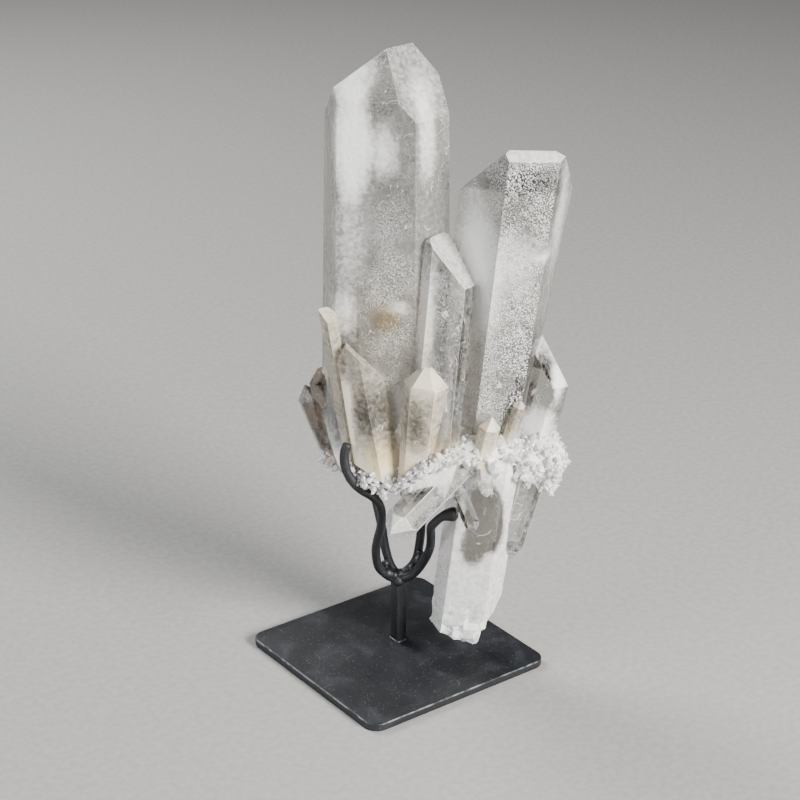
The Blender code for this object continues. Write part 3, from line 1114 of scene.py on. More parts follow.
MILK, FROST, IRON = Channel.MILK, Channel.FROST, Channel.IRON
PATCHES = (
    Patch("tall_crystal", MILK, (0.0000, -0.0120, 0.1612), (0.0075, 0.014, 0.0042), 0.95),
    Patch("tall_crystal", IRON, (-0.0046, -0.0120, 0.1560), (0.0080, 0.014, 0.0060), 0.60),
    Patch("tall_crystal", MILK, (-0.0046, -0.0120, 0.1560), (0.0060, 0.014, 0.0045), 0.45),
    Patch("tall_crystal", FROST, (-0.0020, -0.0120, 0.1600), (0.0140, 0.016, 0.0500), 0.32),
    # The upper left and the left band are white partly from milky haze and partly as a painted highlight,
    # the lamp's glare on that side.
    Patch("tall_crystal", MILK, (-0.0170, 0.0000, 0.2480), (0.0120, 0.020, 0.010), 0.50),
    Patch("tall_crystal", MILK, (-0.0167, -0.0060, 0.2234), (0.0090, 0.012, 0.026), 0.75),
    Patch("tall_crystal", MILK, (-0.0178, -0.0070, 0.1850), (0.0080, 0.012, 0.030), 0.25),
    Patch("tall_crystal", MILK, (-0.0200, -0.0070, 0.1567), (0.0070, 0.010, 0.012), 0.45),
    Patch("tall_crystal", MILK, (-0.0048, -0.0090, 0.2216), (0.0060, 0.010, 0.013), 0.40),
    Patch("tall_crystal", MILK, (-0.0051, -0.0060, 0.2426), (0.0070, 0.012, 0.010), -0.20),
    Patch("tall_crystal", MILK, (-0.0007, -0.0100, 0.2012), (0.0080, 0.012, 0.012), -0.25),
    Patch("tall_crystal", MILK, (-0.0036, -0.0120, 0.1560), (0.0110, 0.014, 0.034), -0.48),
    Patch("tall_crystal", MILK, (0.0106, -0.0040, 0.2247), (0.0045, 0.010, 0.022), 0.45),
    Patch("tall_crystal", MILK, (0.0105, -0.0020, 0.2434), (0.0070, 0.014, 0.009), 0.30),
    Patch("tall_crystal", IRON, (-0.0046, -0.0120, 0.1450), (0.0300, 0.030, 0.045), 0.30),
    Patch("frosted_crystal", FROST, (0.0554, -0.0110, 0.1815), (0.0045, 0.010, 0.0045), -3.0),
    Patch("frosted_crystal", MILK, (0.0554, -0.0110, 0.1815), (0.0045, 0.010, 0.0045), 0.5),
    Patch("frosted_crystal", MILK, (0.0312, -0.0080, 0.1760), (0.0130, 0.016, 0.036), 0.62),
    # This white band on the right face is a painted highlight, the lamp's reflection there.
    Patch("frosted_crystal", MILK, (0.0632, -0.0040, 0.1911), (0.0060, 0.014, 0.0400), 0.34),
    Patch("frosted_crystal", MILK, (0.0448, -0.0120, 0.1819), (0.0100, 0.014, 0.0200), 0.26),
    Patch("frosted_crystal", MILK, (0.0480, -0.0120, 0.1300), (0.0100, 0.016, 0.030), -0.40),
    Patch("frosted_crystal", MILK, (0.0480, -0.0100, 0.2050), (0.0160, 0.020, 0.016), -0.45),
    Patch("centre_crystal", MILK, (0.0103, -0.0180, 0.1619), (0.0050, 0.012, 0.034), 0.46),
    Patch("centre_crystal", MILK, (0.0202, -0.0220, 0.1500), (0.0060, 0.010, 0.030), -0.25),
    Patch("centre_crystal", IRON, (0.0103, -0.0180, 0.1500), (0.0060, 0.012, 0.040), 0.35),
    Patch("centre_crystal", IRON, (0.0180, -0.0200, 0.1060), (0.0100, 0.012, 0.016), 0.60),
    Patch("short_crystal", MILK, (0.0111, -0.0260, 0.1343), (0.0080, 0.012, 0.006), 0.35),
    Patch("short_crystal", MILK, (0.0070, -0.0280, 0.1160), (0.0045, 0.008, 0.015), -0.28),
    Patch("short_crystal", IRON, (0.0179, -0.0260, 0.1067), (0.0060, 0.012, 0.009), 0.60),
    Patch("left_crystal", MILK, (-0.0205, -0.0160, 0.1120), (0.0050, 0.012, 0.024), 1.00),
    Patch("left_crystal", MILK, (-0.0104, -0.0200, 0.1200), (0.0080, 0.012, 0.012), -0.18),
    Patch("left_crystal", IRON, (-0.0060, -0.0220, 0.1020), (0.0080, 0.012, 0.010), 0.35),
    Patch("right_crystal", MILK, (0.0583, -0.0020, 0.1280), (0.0055, 0.010, 0.014), -0.40),
    Patch("right_crystal", MILK, (0.0640, -0.0010, 0.1230), (0.0035, 0.010, 0.010), 0.60),
    Patch("right_crystal", MILK, (0.0560, -0.0040, 0.1080), (0.0100, 0.012, 0.009), 0.60),
    Patch("hanging_crystal", MILK, (0.0350, -0.0150, 0.0720), (0.0085, 0.012, 0.017), -1.4),
    Patch("hanging_crystal", MILK, (0.0380, -0.0150, 0.0640), (0.0060, 0.012, 0.010), -0.7),
    Patch("hanging_crystal", MILK, (0.0305, -0.0150, 0.0580), (0.0060, 0.012, 0.010), -0.8),
    Patch("front_crystal", MILK, (0.0109, -0.0340, 0.0891), (0.0100, 0.010, 0.007), -0.14),
    Patch("matrix", IRON, (0.0180, -0.0200, 0.1039), (0.0100, 0.012, 0.008), 0.75),
)


@dataclass(frozen=True)
class Lump:
    """A rough ellipsoid of matrix: its centre and its half-sizes along the display frame."""

    centre: Triple
    radii: Triple
    rough: float = 0.22
    lump_size: float = 9.0 * MM
    crumb_size: float = 2.4 * MM

    def mesh(self, name: str, seed: int) -> bpy.types.Mesh:
        """Crumbles an ellipsoid.

        Args:
            name: The mesh's name.
            seed: Which part of the noise shapes it.

        Returns:
            The mesh, in the display frame.
        """
        bm = bmesh.new()
        bmesh.ops.create_icosphere(bm, subdivisions=3, radius=1.0)
        offset = Vector((seed, 2 * seed, 3 * seed))
        centre = Vector(self.centre)
        for vert in bm.verts:
            place = centre + Vector(c * r for c, r in zip(vert.co, self.radii))
            bump = noise.cell(place / self.lump_size + offset) - 0.5
            bump += noise.noise(place / self.lump_size + offset)
            bump += 0.5 * noise.noise(place / self.crumb_size + offset)
            vert.co = place + (place - centre) * bump * self.rough
        return mesh_from(bm, name)


LUMPS = (
    Lump((0.0255, -0.0010, 0.0945), (0.0280, 0.0160, 0.0120)),
    Lump((0.0555, -0.0010, 0.0915), (0.0120, 0.0125, 0.0105)),
    Lump((0.0020, -0.0060, 0.0930), (0.0170, 0.0130, 0.0085)),
    Lump((0.0020, 0.0150, 0.0950), (0.0230, 0.0110, 0.0110)),
    Lump((-0.0225, 0.0120, 0.0880), (0.0070, 0.0090, 0.0070)),
    Lump((-0.0040, 0.0050, 0.0880), (0.0190, 0.0165, 0.0085)),
    Lump((0.0320, -0.0095, 0.0970), (0.0175, 0.0095, 0.0080)),
    Lump((-0.0085, -0.0060, 0.0895), (0.0115, 0.0100, 0.0065)),
    Lump((0.0130, -0.0160, 0.0905), (0.0125, 0.0070, 0.0065)),
)


# Where the left crystals end below in a crumbly crust, in the display frame.
CRUST = (
    (-0.0178, -0.0145, 0.0935),
    (-0.0150, -0.0150, 0.0905),
    (-0.0125, -0.0165, 0.0900),
    (-0.0122, -0.0200, 0.0913),
    (-0.0090, -0.0205, 0.0893),
    (-0.0059, -0.0210, 0.0887),
    (-0.0027, -0.0220, 0.0901),
    (0.0004, -0.0230, 0.0892),
    (0.0028, -0.0250, 0.0924),
    (0.0055, -0.0270, 0.0956),
    (0.0082, -0.0275, 0.0980),
    (0.0109, -0.0275, 0.0997),
    (0.0136, -0.0270, 0.1012),
    (0.0163, -0.0260, 0.1020),
    (0.0191, -0.0250, 0.1024),
    (0.0214, -0.0230, 0.1027),
    (0.0043, -0.0240, 0.0893),
)


@dataclass
class QuartzCluster:
    """The stone: every crystal and the crumbly matrix, grown together.

    Radii are the least and the most, in millimetres, and so are the druse's lengths. The grains' and
    points' lengths and how deep they are sunk are shares of their radius.
    """

    finish: NaturalQuartz = NaturalQuartz()
    smoky: SmokyQuartz = SmokyQuartz()
    sugar: SugaryQuartz = SugaryQuartz()
    cell: float = 3.6 * MM
    worn_edge: float = 0.28 * MM
    # How much white the edge strips get, as a painted highlight.
    edge_milk_and_highlight: float = 0.35
    smooth_end: float = 0.28
    small_edge: float = 0.05 * MM
    root_haze: float = 20.0 * MM
    haze_milk: float = 0.6
    haze_iron: float = 0.05
    matrix_level: float = 0.096
    foot_cell: float = 2.0 * MM
    foot_flat: float = 8.0 * MM
    foot_height: float = 22.0 * MM
    chip_size: float = 3.6 * MM
    chip_depth: float = 4.2 * MM
    chip_steps: float = 0.7
    chip_waves: float = 0.6
    chip_inward: float = 0.8
    crumb_size: float = 2.6 * MM
    crumb_depth: float = 0.28 * MM
    grain_count: int = 1500
    point_count: int = 300
    crust_grains: int = 30
    crust_spread: float = 1.3
    grain_radii: tuple[float, float] = (0.35, 1.05)
    grain_lengths: tuple[float, float] = (0.6, 1.2)
    grain_jitter: float = 0.6
    grain_sunk: float = 0.18
    point_radii: tuple[float, float] = (0.7, 1.9)
    point_lengths: tuple[float, float] = (1.0, 2.0)
    point_lean: float = 0.9
    point_sunk: float = 0.3
    crust_radii: tuple[float, float] = (0.5, 1.3)
    druse_count: int = 34
    druse_radii: tuple[float, float] = (1.4, 2.7)
    druse_lengths: tuple[float, float] = (4.0, 8.0)
    druse_tilt: float = 0.45
    druse_sunk: float = 0.8
    druse_seed: int = 11
    seed: int = 21

    # How uneven each grain is, as shares of its radius or length.
    CORNER_REACH = (0.75, 1.1)
    CORNER_LEVEL = (0.75, 1.0)
    TIP_SHIFT = 0.35
    TIP_HEIGHT = 0.9

    def build(self) -> bpy.types.Object:
        """Builds and dresses the stone's pieces.

        Returns:
            The body of the stone.
        """
        mesh, matrix_faces = self.joined()
        mesh.transform(DISPLAY)
        body = show("quartz_body", mesh, self.finish.material(), ["quartz_cluster"])
        show("smoky_crystals", self.smoky_pair(), self.smoky.material())
        show("sugary_grains", self.grains(matrix_faces), self.sugar.material())
        return body

    def joined(self) -> tuple[bpy.types.Mesh, list[tuple[Vector, Vector]]]:
        """Joins the crystals and the matrix into one closed skin, and paints it.

        Returns:
            The mesh in the display frame, and a centre and normal for each of its matrix faces.
        """
        members = bpy.data.collections.new("cluster_members")
        bpy.context.scene.collection.children.link(members)
        shapes = [self.broken(crystal.mesh(self.worn_edge), crystal) for crystal in CRYSTALS]
        shapes += [lump.mesh(f"matrix_{n}", 5 + n) for n, lump in enumerate(LUMPS)]
        shapes += [crystal.mesh(self.small_edge) for crystal in self.druse()]
        tags = []
        for shape in shapes:
            tag = bpy.data.materials.new("tag")
            tags.append(tag)
            shape.materials.clear()
            shape.materials.append(tag)
        objects = [bpy.data.objects.new(shape.name, shape) for shape in shapes]
        for obj in objects[1:]:
            members.objects.link(obj)
        body = objects[0]
        bpy.context.scene.collection.objects.link(body)
        union = body.modifiers.new("grown_together", "BOOLEAN")
        union.operation = "UNION"
        union.solver = "MANIFOLD"
        union.operand_type = "COLLECTION"
        union.collection = members
        union.material_mode = "TRANSFER"
        mesh = settled(body)
        dice(mesh, self.cell)
        for obj in list(members.objects):
            bpy.data.objects.remove(obj, do_unlink=True)
        bpy.data.collections.remove(members)
        order = [tags.index(material) for material in mesh.materials]
        owners = [min(order[polygon.material_index], len(CRYSTALS)) for polygon in mesh.polygons]
        self.paint(mesh, owners)
        faces = [
            (polygon.center.copy(), polygon.normal.copy())
            for polygon, owner in zip(mesh.polygons, owners)
            if owner == len(CRYSTALS)
        ]
        mesh.materials.clear()
        for polygon in mesh.polygons:
            polygon.material_index = 0
        for tag in tags:
            bpy.data.materials.remove(tag)
        return mesh, faces

    def broken(self, mesh: bpy.types.Mesh, crystal: Crystal) -> bpy.types.Mesh:
        """Crumbles the broken foot of the hanging crystal, and leaves any other crystal whole.

        Args:
            mesh: The crystal's mesh.
            crystal: The crystal.

        Returns:
            The mesh, crumbled or not.
        """
        if crystal.name != "hanging_crystal":
            return mesh
        dice(mesh, self.foot_cell)
        bm = bmesh.new()
        bm.from_mesh(mesh)
        bmesh.ops.triangulate(bm, faces=bm.faces)
        axis, _, _ = crystal.axes()
        tip = Vector(crystal.tip)
        for vert in bm.verts:
            along = (vert.co - tip).dot(axis)
            centre = tip + axis * along
            # The foot ends in angular chips, which fade out towards the whole prism.
            depth = min(1.0, max(0.0, 1.0 + (along + self.foot_flat) / self.foot_height))
            chip = self.chip_steps * noise.cell(vert.co / self.chip_size)
            chip += self.chip_waves * noise.noise(vert.co / self.chip_size)
            fine = 1.0 + noise.noise(vert.co / self.crumb_size)
            inward = (centre - vert.co).normalized()
            push = max(0.0, chip) * depth * self.chip_depth + fine * self.crumb_depth
            vert.co += (inward * self.chip_inward - axis * depth) * push
        return mesh_from(bm, "hanging_crystal")

    def druse(self) -> Iterator[Crystal]:
        """Lists the small points that grow out of the matrix all round, by a seeded draw.

        Yields:
            One small crystal after another.
        """
        draw = random.Random(self.druse_seed)
        for number in range(self.druse_count):
            lump = LUMPS[number % len(LUMPS)]
            heading = Vector([draw.gauss(0, 1) for _ in range(3)]).normalized()
            reach = Vector(h * r * self.druse_sunk for h, r in zip(heading, lump.radii))
            start = Vector(lump.centre) + reach
            tilt = Vector([draw.uniform(-self.druse_tilt, self.druse_tilt) for _ in range(3)])
            aim = (heading + tilt).normalized()
            radius = draw.uniform(*self.druse_radii) * MM
            length = draw.uniform(*self.druse_lengths) * MM
            yield Crystal(
                f"druse_{number + 1:02d}",
                root=tuple(start - aim * radius),
                tip=tuple(start + aim * length),
                turn=draw.uniform(0, 60),
                sides=(radius,) * 6,
                ends=tuple(draw.uniform(0, radius / 2) for _ in range(6)),
            )

    def paint(self, mesh: bpy.types.Mesh, owners: Sequence[int]) -> None:
        """Gives each face its crystal's own coordinates, and its milk, frost and iron.

        Args:
            mesh: The joined mesh, in the display frame.
            owners: For each face, the number of its crystal, or the crystals' count for matrix.
        """
        growth = mesh.attributes.new("growth", "FLOAT_VECTOR", "CORNER")
        habit = mesh.color_attributes.new("habit", "FLOAT_COLOR", "CORNER")
        for polygon, owner in zip(mesh.polygons, owners):
            crystal = CRYSTALS[owner] if owner < len(CRYSTALS) else None
            name = crystal.name if crystal else "matrix"
            patches = [patch for patch in PATCHES if patch.crystal == name]
            milk, frost, iron = self.face_habit(crystal, polygon.normal)
            for corner in polygon.loop_indices:
                place = mesh.vertices[mesh.loops[corner].vertex_index].co
                growth.data[corner].vector = self.growth_at(crystal, polygon.normal, place)
                # Every crystal turns cloudy where it grows out of the matrix.
                haze = max(0.0, 1.0 - abs(place.z - self.matrix_level) / self.root_haze)
                haze *= crystal.root_haze if crystal else 1.0
                values = [milk + self.haze_milk * haze * haze, frost, iron + self.haze_iron * haze]
                for patch in patches:
                    values[patch.channel.value] += patch.at(place)
                habit.data[corner].color = (*(min(1.0, max(0.0, v)) for v in values), 1.0)

    def growth_at(self, crystal: Crystal | None, normal: Vector, place: Vector) -> Vector:
        """Gives a place its own coordinates on its crystal.

        Args:
            crystal: The crystal, or None for matrix.
            normal: The normal of the face that the place is on.
            place: The place, in the display frame.

        Returns:
            How far it is across the crystal, along it, and out from its axis.
        """
        if crystal is None:
            return place
        axis, _, _ = crystal.axes()
        offset = place - Vector(crystal.root)
        across = axis.cross(normal)
        across = across.normalized() if across.length > 1e-4 else Vector((1, 0, 0))
        return Vector((offset.dot(across), offset.dot(axis), offset.dot(normal)))

    def face_habit(self, crystal: Crystal | None, normal: Vector) -> tuple[float, float, float]:
        """Gives a face's milk, frost and iron before any patch.

        Args:
            crystal: The face's crystal, or None for matrix.
            normal: The face's normal.

        Returns:
            Milk, frost and iron.
        """
        milk, iron = (crystal.habit if crystal else Habit.MATRIX).value
        if crystal is None:
            return milk, 0.0, iron
        number, is_end, is_edge = crystal.face_number(normal)
        milk += crystal.end_milk_and_sheen[number] if is_end else 0.0
        # Edges are whitened all along as a painted highlight, so they show as thin white lines.
        milk += self.edge_milk_and_highlight if is_edge else 0.0
        smooth = is_end and crystal.end_milk_and_sheen[number] > self.smooth_end
        return milk, 0.0 if smooth else crystal.frost[number], iron

    def smoky_pair(self) -> bpy.types.Mesh:
        """Builds the two brown crystals behind the left edge.

        Returns:
            Their mesh, in the part's frame.
        """
        bm = bmesh.new()
        for crystal in SMOKY_PAIR:
            bm.from_mesh(crystal.mesh(self.worn_edge))
        mesh = mesh_from(bm, "smoky_crystals")
        mesh.transform(DISPLAY)
        return mesh

    def grains(self, faces: Sequence[tuple[Vector, Vector]]) -> bpy.types.Mesh:
        """Scatters sugar-like grains and small points over the matrix.

        Args:
            faces: A centre and a normal for each face of the matrix.

        Returns:
            Their mesh, in the part's frame.
        """
        draw = random.Random(self.seed)
        heap = Heap()
        for number in range(self.grain_count + self.point_count):
            centre, normal = draw.choice(faces)
            jitter = Vector([draw.uniform(-self.grain_jitter, self.grain_jitter) * MM for _ in range(3)])
            if number < self.grain_count:
                aim = Vector([draw.gauss(0, 1) for _ in range(3)]).normalized()
                radius = draw.uniform(*self.grain_radii) * MM
                length = radius * draw.uniform(*self.grain_lengths)
                sunk = radius * self.grain_sunk
            else:
                lean = Vector([draw.uniform(-self.point_lean, self.point_lean) for _ in range(3)])
                aim = (normal + lean).normalized()
                radius = draw.uniform(*self.point_radii) * MM
                length = radius * draw.uniform(*self.point_lengths)
                sunk = radius * self.point_sunk
            self.crystallite(heap, centre + jitter - normal * sunk, aim, radius, length, draw)
        for place in CRUST:
            for _ in range(self.crust_grains):
                jitter = Vector([draw.gauss(0, self.crust_spread) * MM for _ in range(3)])
                aim = Vector([draw.gauss(0, 1) for _ in range(3)]).normalized()
                radius = draw.uniform(*self.crust_radii) * MM
                self.crystallite(heap, Vector(place) + jitter, aim, radius, radius, draw)
        mesh = heap.mesh("sugary_grains")
        mesh.transform(DISPLAY)
        return mesh

    def crystallite(
        self, heap: Heap, centre: Vector, aim: Vector, radius: float, length: float, draw: random.Random
    ) -> None:
        """Adds one short six-sided crystal with a point at each end.

        Args:
            heap: The heap that takes it.
            centre: Its middle, in the display frame.
            aim: The direction of its axis.
            radius: Its half-width.
            length: Half the length of its prism.
            draw: The seeded draw.
        """
        turn = aim.to_track_quat("Z", "Y")
        spin = draw.uniform(0, math.tau)
        widths = [radius * draw.uniform(*self.CORNER_REACH) for _ in range(6)]
        corners = []
        for end in (-1, 1):
            for number, width in enumerate(widths):
                angle = spin + number * math.tau / 6
                level = end * length * draw.uniform(*self.CORNER_LEVEL)
                corners.append(Vector((width * math.cos(angle), width * math.sin(angle), level)))
        for end in (-1, 1):
            off = radius * self.TIP_SHIFT
            level = end * (length + radius * self.TIP_HEIGHT)
            tip = (draw.uniform(-off, off), draw.uniform(-off, off), level)
            corners.append(Vector(tip))
        sides = []
        for here in range(6):
            there = (here + 1) % 6
            sides.append((here, there, 6 + there, 6 + here))
            sides.append((there, here, 12))
            sides.append((6 + here, 6 + there, 13))
        heap.add([centre + turn @ corner for corner in corners], sides)


@dataclass(frozen=True)
class Veil:
    """A sheet of bubbles inside a crystal: where it lies, which way it spreads, and how dense it is."""

    centre: Triple
    spread: Triple
    across: Triple
    bend: float
    flakes: int
    size: float


VEILS = (
    Veil((-0.0066, 0.0060, 0.2470), (0.004, 0.001, -0.009), (0.001, 0.004, 0.001), 0.4, 180, 0.35),
    Veil((-0.0137, 0.0040, 0.2400), (0.007, 0.002, -0.011), (0.002, 0.004, 0.001), 0.3, 220, 0.35),
    Veil((0.0010, 0.0000, 0.1606), (0.011, 0.002, -0.003), (0.001, 0.005, 0.003), 0.5, 420, 0.45),
    Veil((0.0150, 0.0080, 0.2065), (0.003, 0.002, 0.010), (0.002, 0.005, 0.000), 0.6, 200, 0.40),
    Veil((-0.0160, 0.0040, 0.2200), (0.006, 0.003, 0.018), (0.003, 0.006, 0.002), 0.5, 520, 0.40),
    Veil((-0.0020, 0.0080, 0.1850), (0.010, 0.002, 0.020), (0.003, 0.006, -0.004), 0.8, 500, 0.35),
    Veil((-0.0170, 0.0060, 0.1600), (0.006, 0.002, 0.012), (0.002, 0.007, 0.001), 0.6, 360, 0.40),
    Veil((-0.0020, 0.0060, 0.1300), (0.012, 0.004, 0.012), (-0.004, 0.008, 0.003), 0.7, 500, 0.40),
    Veil((0.0420, -0.0010, 0.1500), (0.008, 0.002, 0.022), (0.003, 0.005, 0.000), 0.6, 420, 0.35),
    Veil((0.0370, 0.0010, 0.1200), (0.009, 0.003, 0.010), (0.002, 0.006, 0.002), 0.6, 420, 0.40),
    Veil((0.0150, -0.0120, 0.1350), (0.004, 0.001, 0.018), (0.001, 0.004, 0.001), 0.5, 260, 0.35),
    Veil((-0.0110, -0.0130, 0.1100), (0.004, 0.001, 0.016), (0.001, 0.003, 0.001), 0.5, 260, 0.35),
    Veil((0.0580, 0.0060, 0.1180), (0.003, 0.002, 0.011), (0.002, 0.004, 0.001), 0.6, 240, 0.35),
    Veil((0.0105, -0.0200, 0.1180), (0.003, 0.001, 0.012), (0.001, 0.003, 0.001), 0.5, 160, 0.30),
)


@dataclass
class HealedFractures:
    """The veils inside the clear crystals, as thin closed flakes."""

    finish: HealedFracture = HealedFracture()
    thickness: float = 0.08
    clearance: float = 1.5
    sizes: tuple[float, float] = (0.4, 1.3)
    narrowness: tuple[float, float] = (0.4, 1.0)
    tilt: float = 0.35
    sides: int = 5
    wisps: float = 2.2
    wisp_gaps: tuple[float, float] = (-0.2, 0.5)
    ripple: float = 0.6 * MM
    flat_middle: float = 0.4
    veil_offset: float = 90.0
    draws: int = 3
    seed: int = 8

    def build(self, body: bpy.types.Object) -> None:
        """Builds and dresses the veils.

        Args:
            body: The stone, which every flake has to lie inside.
        """
        draw = random.Random(self.seed)
        tree = BVHTree.FromObject(body, bpy.context.evaluated_depsgraph_get())
        heap = Heap()
        for veil in VEILS:
            for place in self.scatter(veil, draw):
                size = veil.size * MM * draw.uniform(*self.sizes)
                if self.inside(tree, DISPLAY @ place, size):
                    self.flake(heap, veil, place, size, draw)
        mesh = heap.mesh("healed_fractures")
        mesh.transform(DISPLAY)
        show("healed_fractures", mesh, self.finish.material())

    def scatter(self, veil: Veil, draw: random.Random) -> Iterator[Vector]:
        """Draws places on a veil's bent sheet, in wisps.

        Args:
            veil: The sheet.
            draw: The seeded draw.

        Yields:
            Places, in the display frame.
        """
        spread, across = Vector(veil.spread), Vector(veil.across)
        normal = spread.cross(across).normalized()
        for _ in range(veil.flakes * self.draws):
            u, v = draw.uniform(-1, 1), draw.uniform(-1, 1)
            wisp = noise.noise(Vector((self.wisps * u, self.wisps * v, veil.centre[2] * self.veil_offset)))
            if u * u + v * v > 1 or wisp < draw.uniform(*self.wisp_gaps):
                continue
            bulge = veil.bend * across.length * (u * u - self.flat_middle) + wisp * self.ripple
            yield Vector(veil.centre) + spread * u + across * v + normal * bulge

    def inside(self, tree: BVHTree, place: Vector, size: float) -> bool:
        """Tells whether a flake there lies wholly inside the stone.

        Args:
            tree: The stone's faces.
            place: The flake's centre, in the part's frame.
            size: The flake's half-width.

        Returns:
            True if it is inside and clear of the skin.
        """
        point, normal, _, distance = tree.find_nearest(place)
        return distance > size * self.clearance and (place - point).dot(normal) < 0

    def flake(self, heap: Heap, veil: Veil, place: Vector, size: float, draw: random.Random) -> None:
        """Adds one thin closed flake, nearly in the plane of its veil.

        Args:
            heap: The heap that takes it.
            veil: Its veil.
            place: Its centre, in the display frame.
            size: Its half-width.
            draw: The seeded draw.
        """
        normal = Vector(veil.spread).cross(Vector(veil.across)).normalized()
        tilt = Vector([draw.gauss(0, self.tilt) for _ in range(3)])
        turn = (normal + tilt).to_track_quat("Z", "Y")
        spin = draw.uniform(0, math.tau)
        narrow = draw.uniform(*self.narrowness)
        rim = []
        for number in range(self.sides):
            angle = spin + number * math.tau / self.sides
            rim.append(Vector((size * math.cos(angle), size * narrow * math.sin(angle), 0)))
        poles = [Vector((0, 0, end * size * self.thickness)) for end in (-1, 1)]
        sides = []
        for here in range(self.sides):
            there = (here + 1) % self.sides
            sides.append((there, here, self.sides))
            sides.append((here, there, self.sides + 1))
        heap.add([place + turn @ corner for corner in (*rim, *poles)], sides)


# The stand

# An edge that turns by more than this stays crisp when a piece is shaded smooth.
CRISP = math.radians(40)
ROUNDING_STEPS = 4


def round_off(
    bm: bmesh.types.BMesh, edges: Sequence[bmesh.types.BMEdge], radius: float, steps: int
) -> None:
    """Rounds edges off.

    Args:
        bm: The mesh that has them.
        edges: The edges.
        radius: The radius of the rounding.
        steps: How many faces it takes.
    """
    bmesh.ops.bevel(bm, geom=edges, offset=radius, segments=steps, profile=0.5, affect="EDGES")


@dataclass
class BasePlate:
    """The square plate that everything stands on."""

    finish: bpy.types.Material
    side: float = 88.9 * MM
    thickness: float = 3.4 * MM
    corner_radius: float = 6.0 * MM
    corner_steps: int = 20
    edge_rounding: float = 0.45 * MM

    def build(self) -> None:
        """Builds and dresses the plate."""
        bm = bmesh.new()
        bmesh.ops.create_cube(bm, size=1.0)
        bmesh.ops.scale(bm, vec=(self.side, self.side, self.thickness), verts=bm.verts)
        bmesh.ops.translate(bm, vec=(0, 0, self.thickness / 2), verts=bm.verts)
        uprights = [edge for edge in bm.edges if edge.calc_length() < self.side / 2]
        round_off(bm, uprights, self.corner_radius, self.corner_steps)
        rims = [edge for edge in bm.edges if edge.calc_face_angle(0.0) > math.radians(60)]
        round_off(bm, rims, self.edge_rounding, ROUNDING_STEPS)
        mesh = mesh_from(bm, "plate")
        mesh.shade_smooth()
        mesh.set_sharp_from_angle(angle=CRISP)
        show("plate", mesh, self.finish, ["base_plate"])


@dataclass
class Post:
    """The square bar that stands on the plate."""

    finish: bpy.types.Material
    width: float = 4.8 * MM
    rounding: float = 0.55 * MM
    overlap: float = 0.3 * MM

    def build(self) -> None:
        """Builds and dresses the post, from the plate up to the rods."""
        low, high = (Vector(corner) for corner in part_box("post"))
        bm = bmesh.new()
        bmesh.ops.create_cube(bm, size=1.0)
        height = high.z - low.z + 2 * self.overlap
        bmesh.ops.scale(bm, vec=(self.width, self.width, height), verts=bm.verts)
        bmesh.ops.translate(bm, vec=(low + high) / 2, verts=bm.verts)
        round_off(bm, bm.edges[:], self.rounding, ROUNDING_STEPS)
        mesh = mesh_from(bm, "upright")
        mesh.shade_smooth()
        mesh.set_sharp_from_angle(angle=CRISP)
        show("upright", mesh, self.finish, ["post"])


def smooth_route(points: Sequence[Triple], steps: int) -> list[Vector]:
    """Runs a smooth curve through points.

    Args:
        points: The points it goes through.
        steps: How many steps it takes between each two.

    Returns:
        The points along the curve.
    """
    ends = [Vector(p) for p in points]
    padded = [2 * ends[0] - ends[1], *ends, 2 * ends[-1] - ends[-2]]
    route = []
    for before, here, there, after in zip(padded, padded[1:], padded[2:], padded[3:]):
        for step in range(steps):
            t = step / steps
            route.append(
                0.5
                * (
                    2 * here
                    + (there - before) * t
                    + (2 * before - 5 * here + 4 * there - after) * t * t
                    + (3 * here - before - 3 * there + after) * t * t * t
                )
            )
    return [*route, ends[-1]]


@dataclass
class Fork:
    """A steel rod, bent by hand to a U, whose two prongs hold the stone.

    swell is how much the paint thickens the rod's last end.
    """

    name: str
    replaced: str
    route: tuple[Triple, ...]
    finish: bpy.types.Material
    swell: float = 0.0
    diameter: float = 3.7 * MM
    steps: int = 10
    round_steps: int = 8
    crisp: float = math.radians(50)
    waver: float = 0.05
    wavers_per_metre: float = 180.0
    swollen: float = 7.0 * MM
    rounded: float = 2.6 * MM
    sawn_edge: float = 0.5 * MM
    sawn_width: float = 0.88

    LEAST = 0.05

    def build(self) -> None:
        """Builds and dresses the rod."""
        places = smooth_route(self.route, self.steps)
        lengths = [0.0]
        for here, there in zip(places, places[1:]):
            lengths.append(lengths[-1] + (there - here).length)
        curve = bpy.data.curves.new(self.name, "CURVE")
        curve.dimensions = "3D"
        curve.bevel_depth = self.diameter / 2
        curve.bevel_resolution = self.round_steps
        curve.use_fill_caps = True
        spline = curve.splines.new("POLY")
        spline.points.add(len(places) - 1)
        for point, place, along in zip(spline.points, places, lengths):
            point.co = (*place, 1.0)
            point.radius = self.width_at(place, along, lengths[-1])
        mesh = settled(add_object(self.name, curve))
        bm = bmesh.new()
        bm.from_mesh(mesh)
        bmesh.ops.remove_doubles(bm, verts=bm.verts, dist=1e-6)
        mesh = mesh_from(bm, self.name)
        mesh.transform(DISPLAY)
        mesh.shade_smooth()
        mesh.set_sharp_from_angle(angle=self.crisp)
        show(self.name, mesh, self.finish, [self.replaced])

    def width_at(self, place: Vector, along: float, total: float) -> float:
        """Gives the rod's width at a place, where 1 is its plain width.

        Args:
            place: The place.
            along: How far along the rod it is.
            total: The rod's length.

        Returns:
            The width.
        """
        uneven = 1.0 + self.waver * noise.noise(place * self.wavers_per_metre)
        to_last = total - along
        if self.swell:
            into_end = max(0.0, 1 - to_last / self.rounded)
            rounding = math.sqrt(max(self.LEAST, 1 - into_end**2))
            uneven *= (1 + self.swell * max(0.0, 1 - to_last / self.swollen)) * rounding
        nearest = along if self.swell else min(along, to_last)
        return uneven * (self.sawn_width + (1 - self.sawn_width) * min(1.0, nearest / self.sawn_edge))


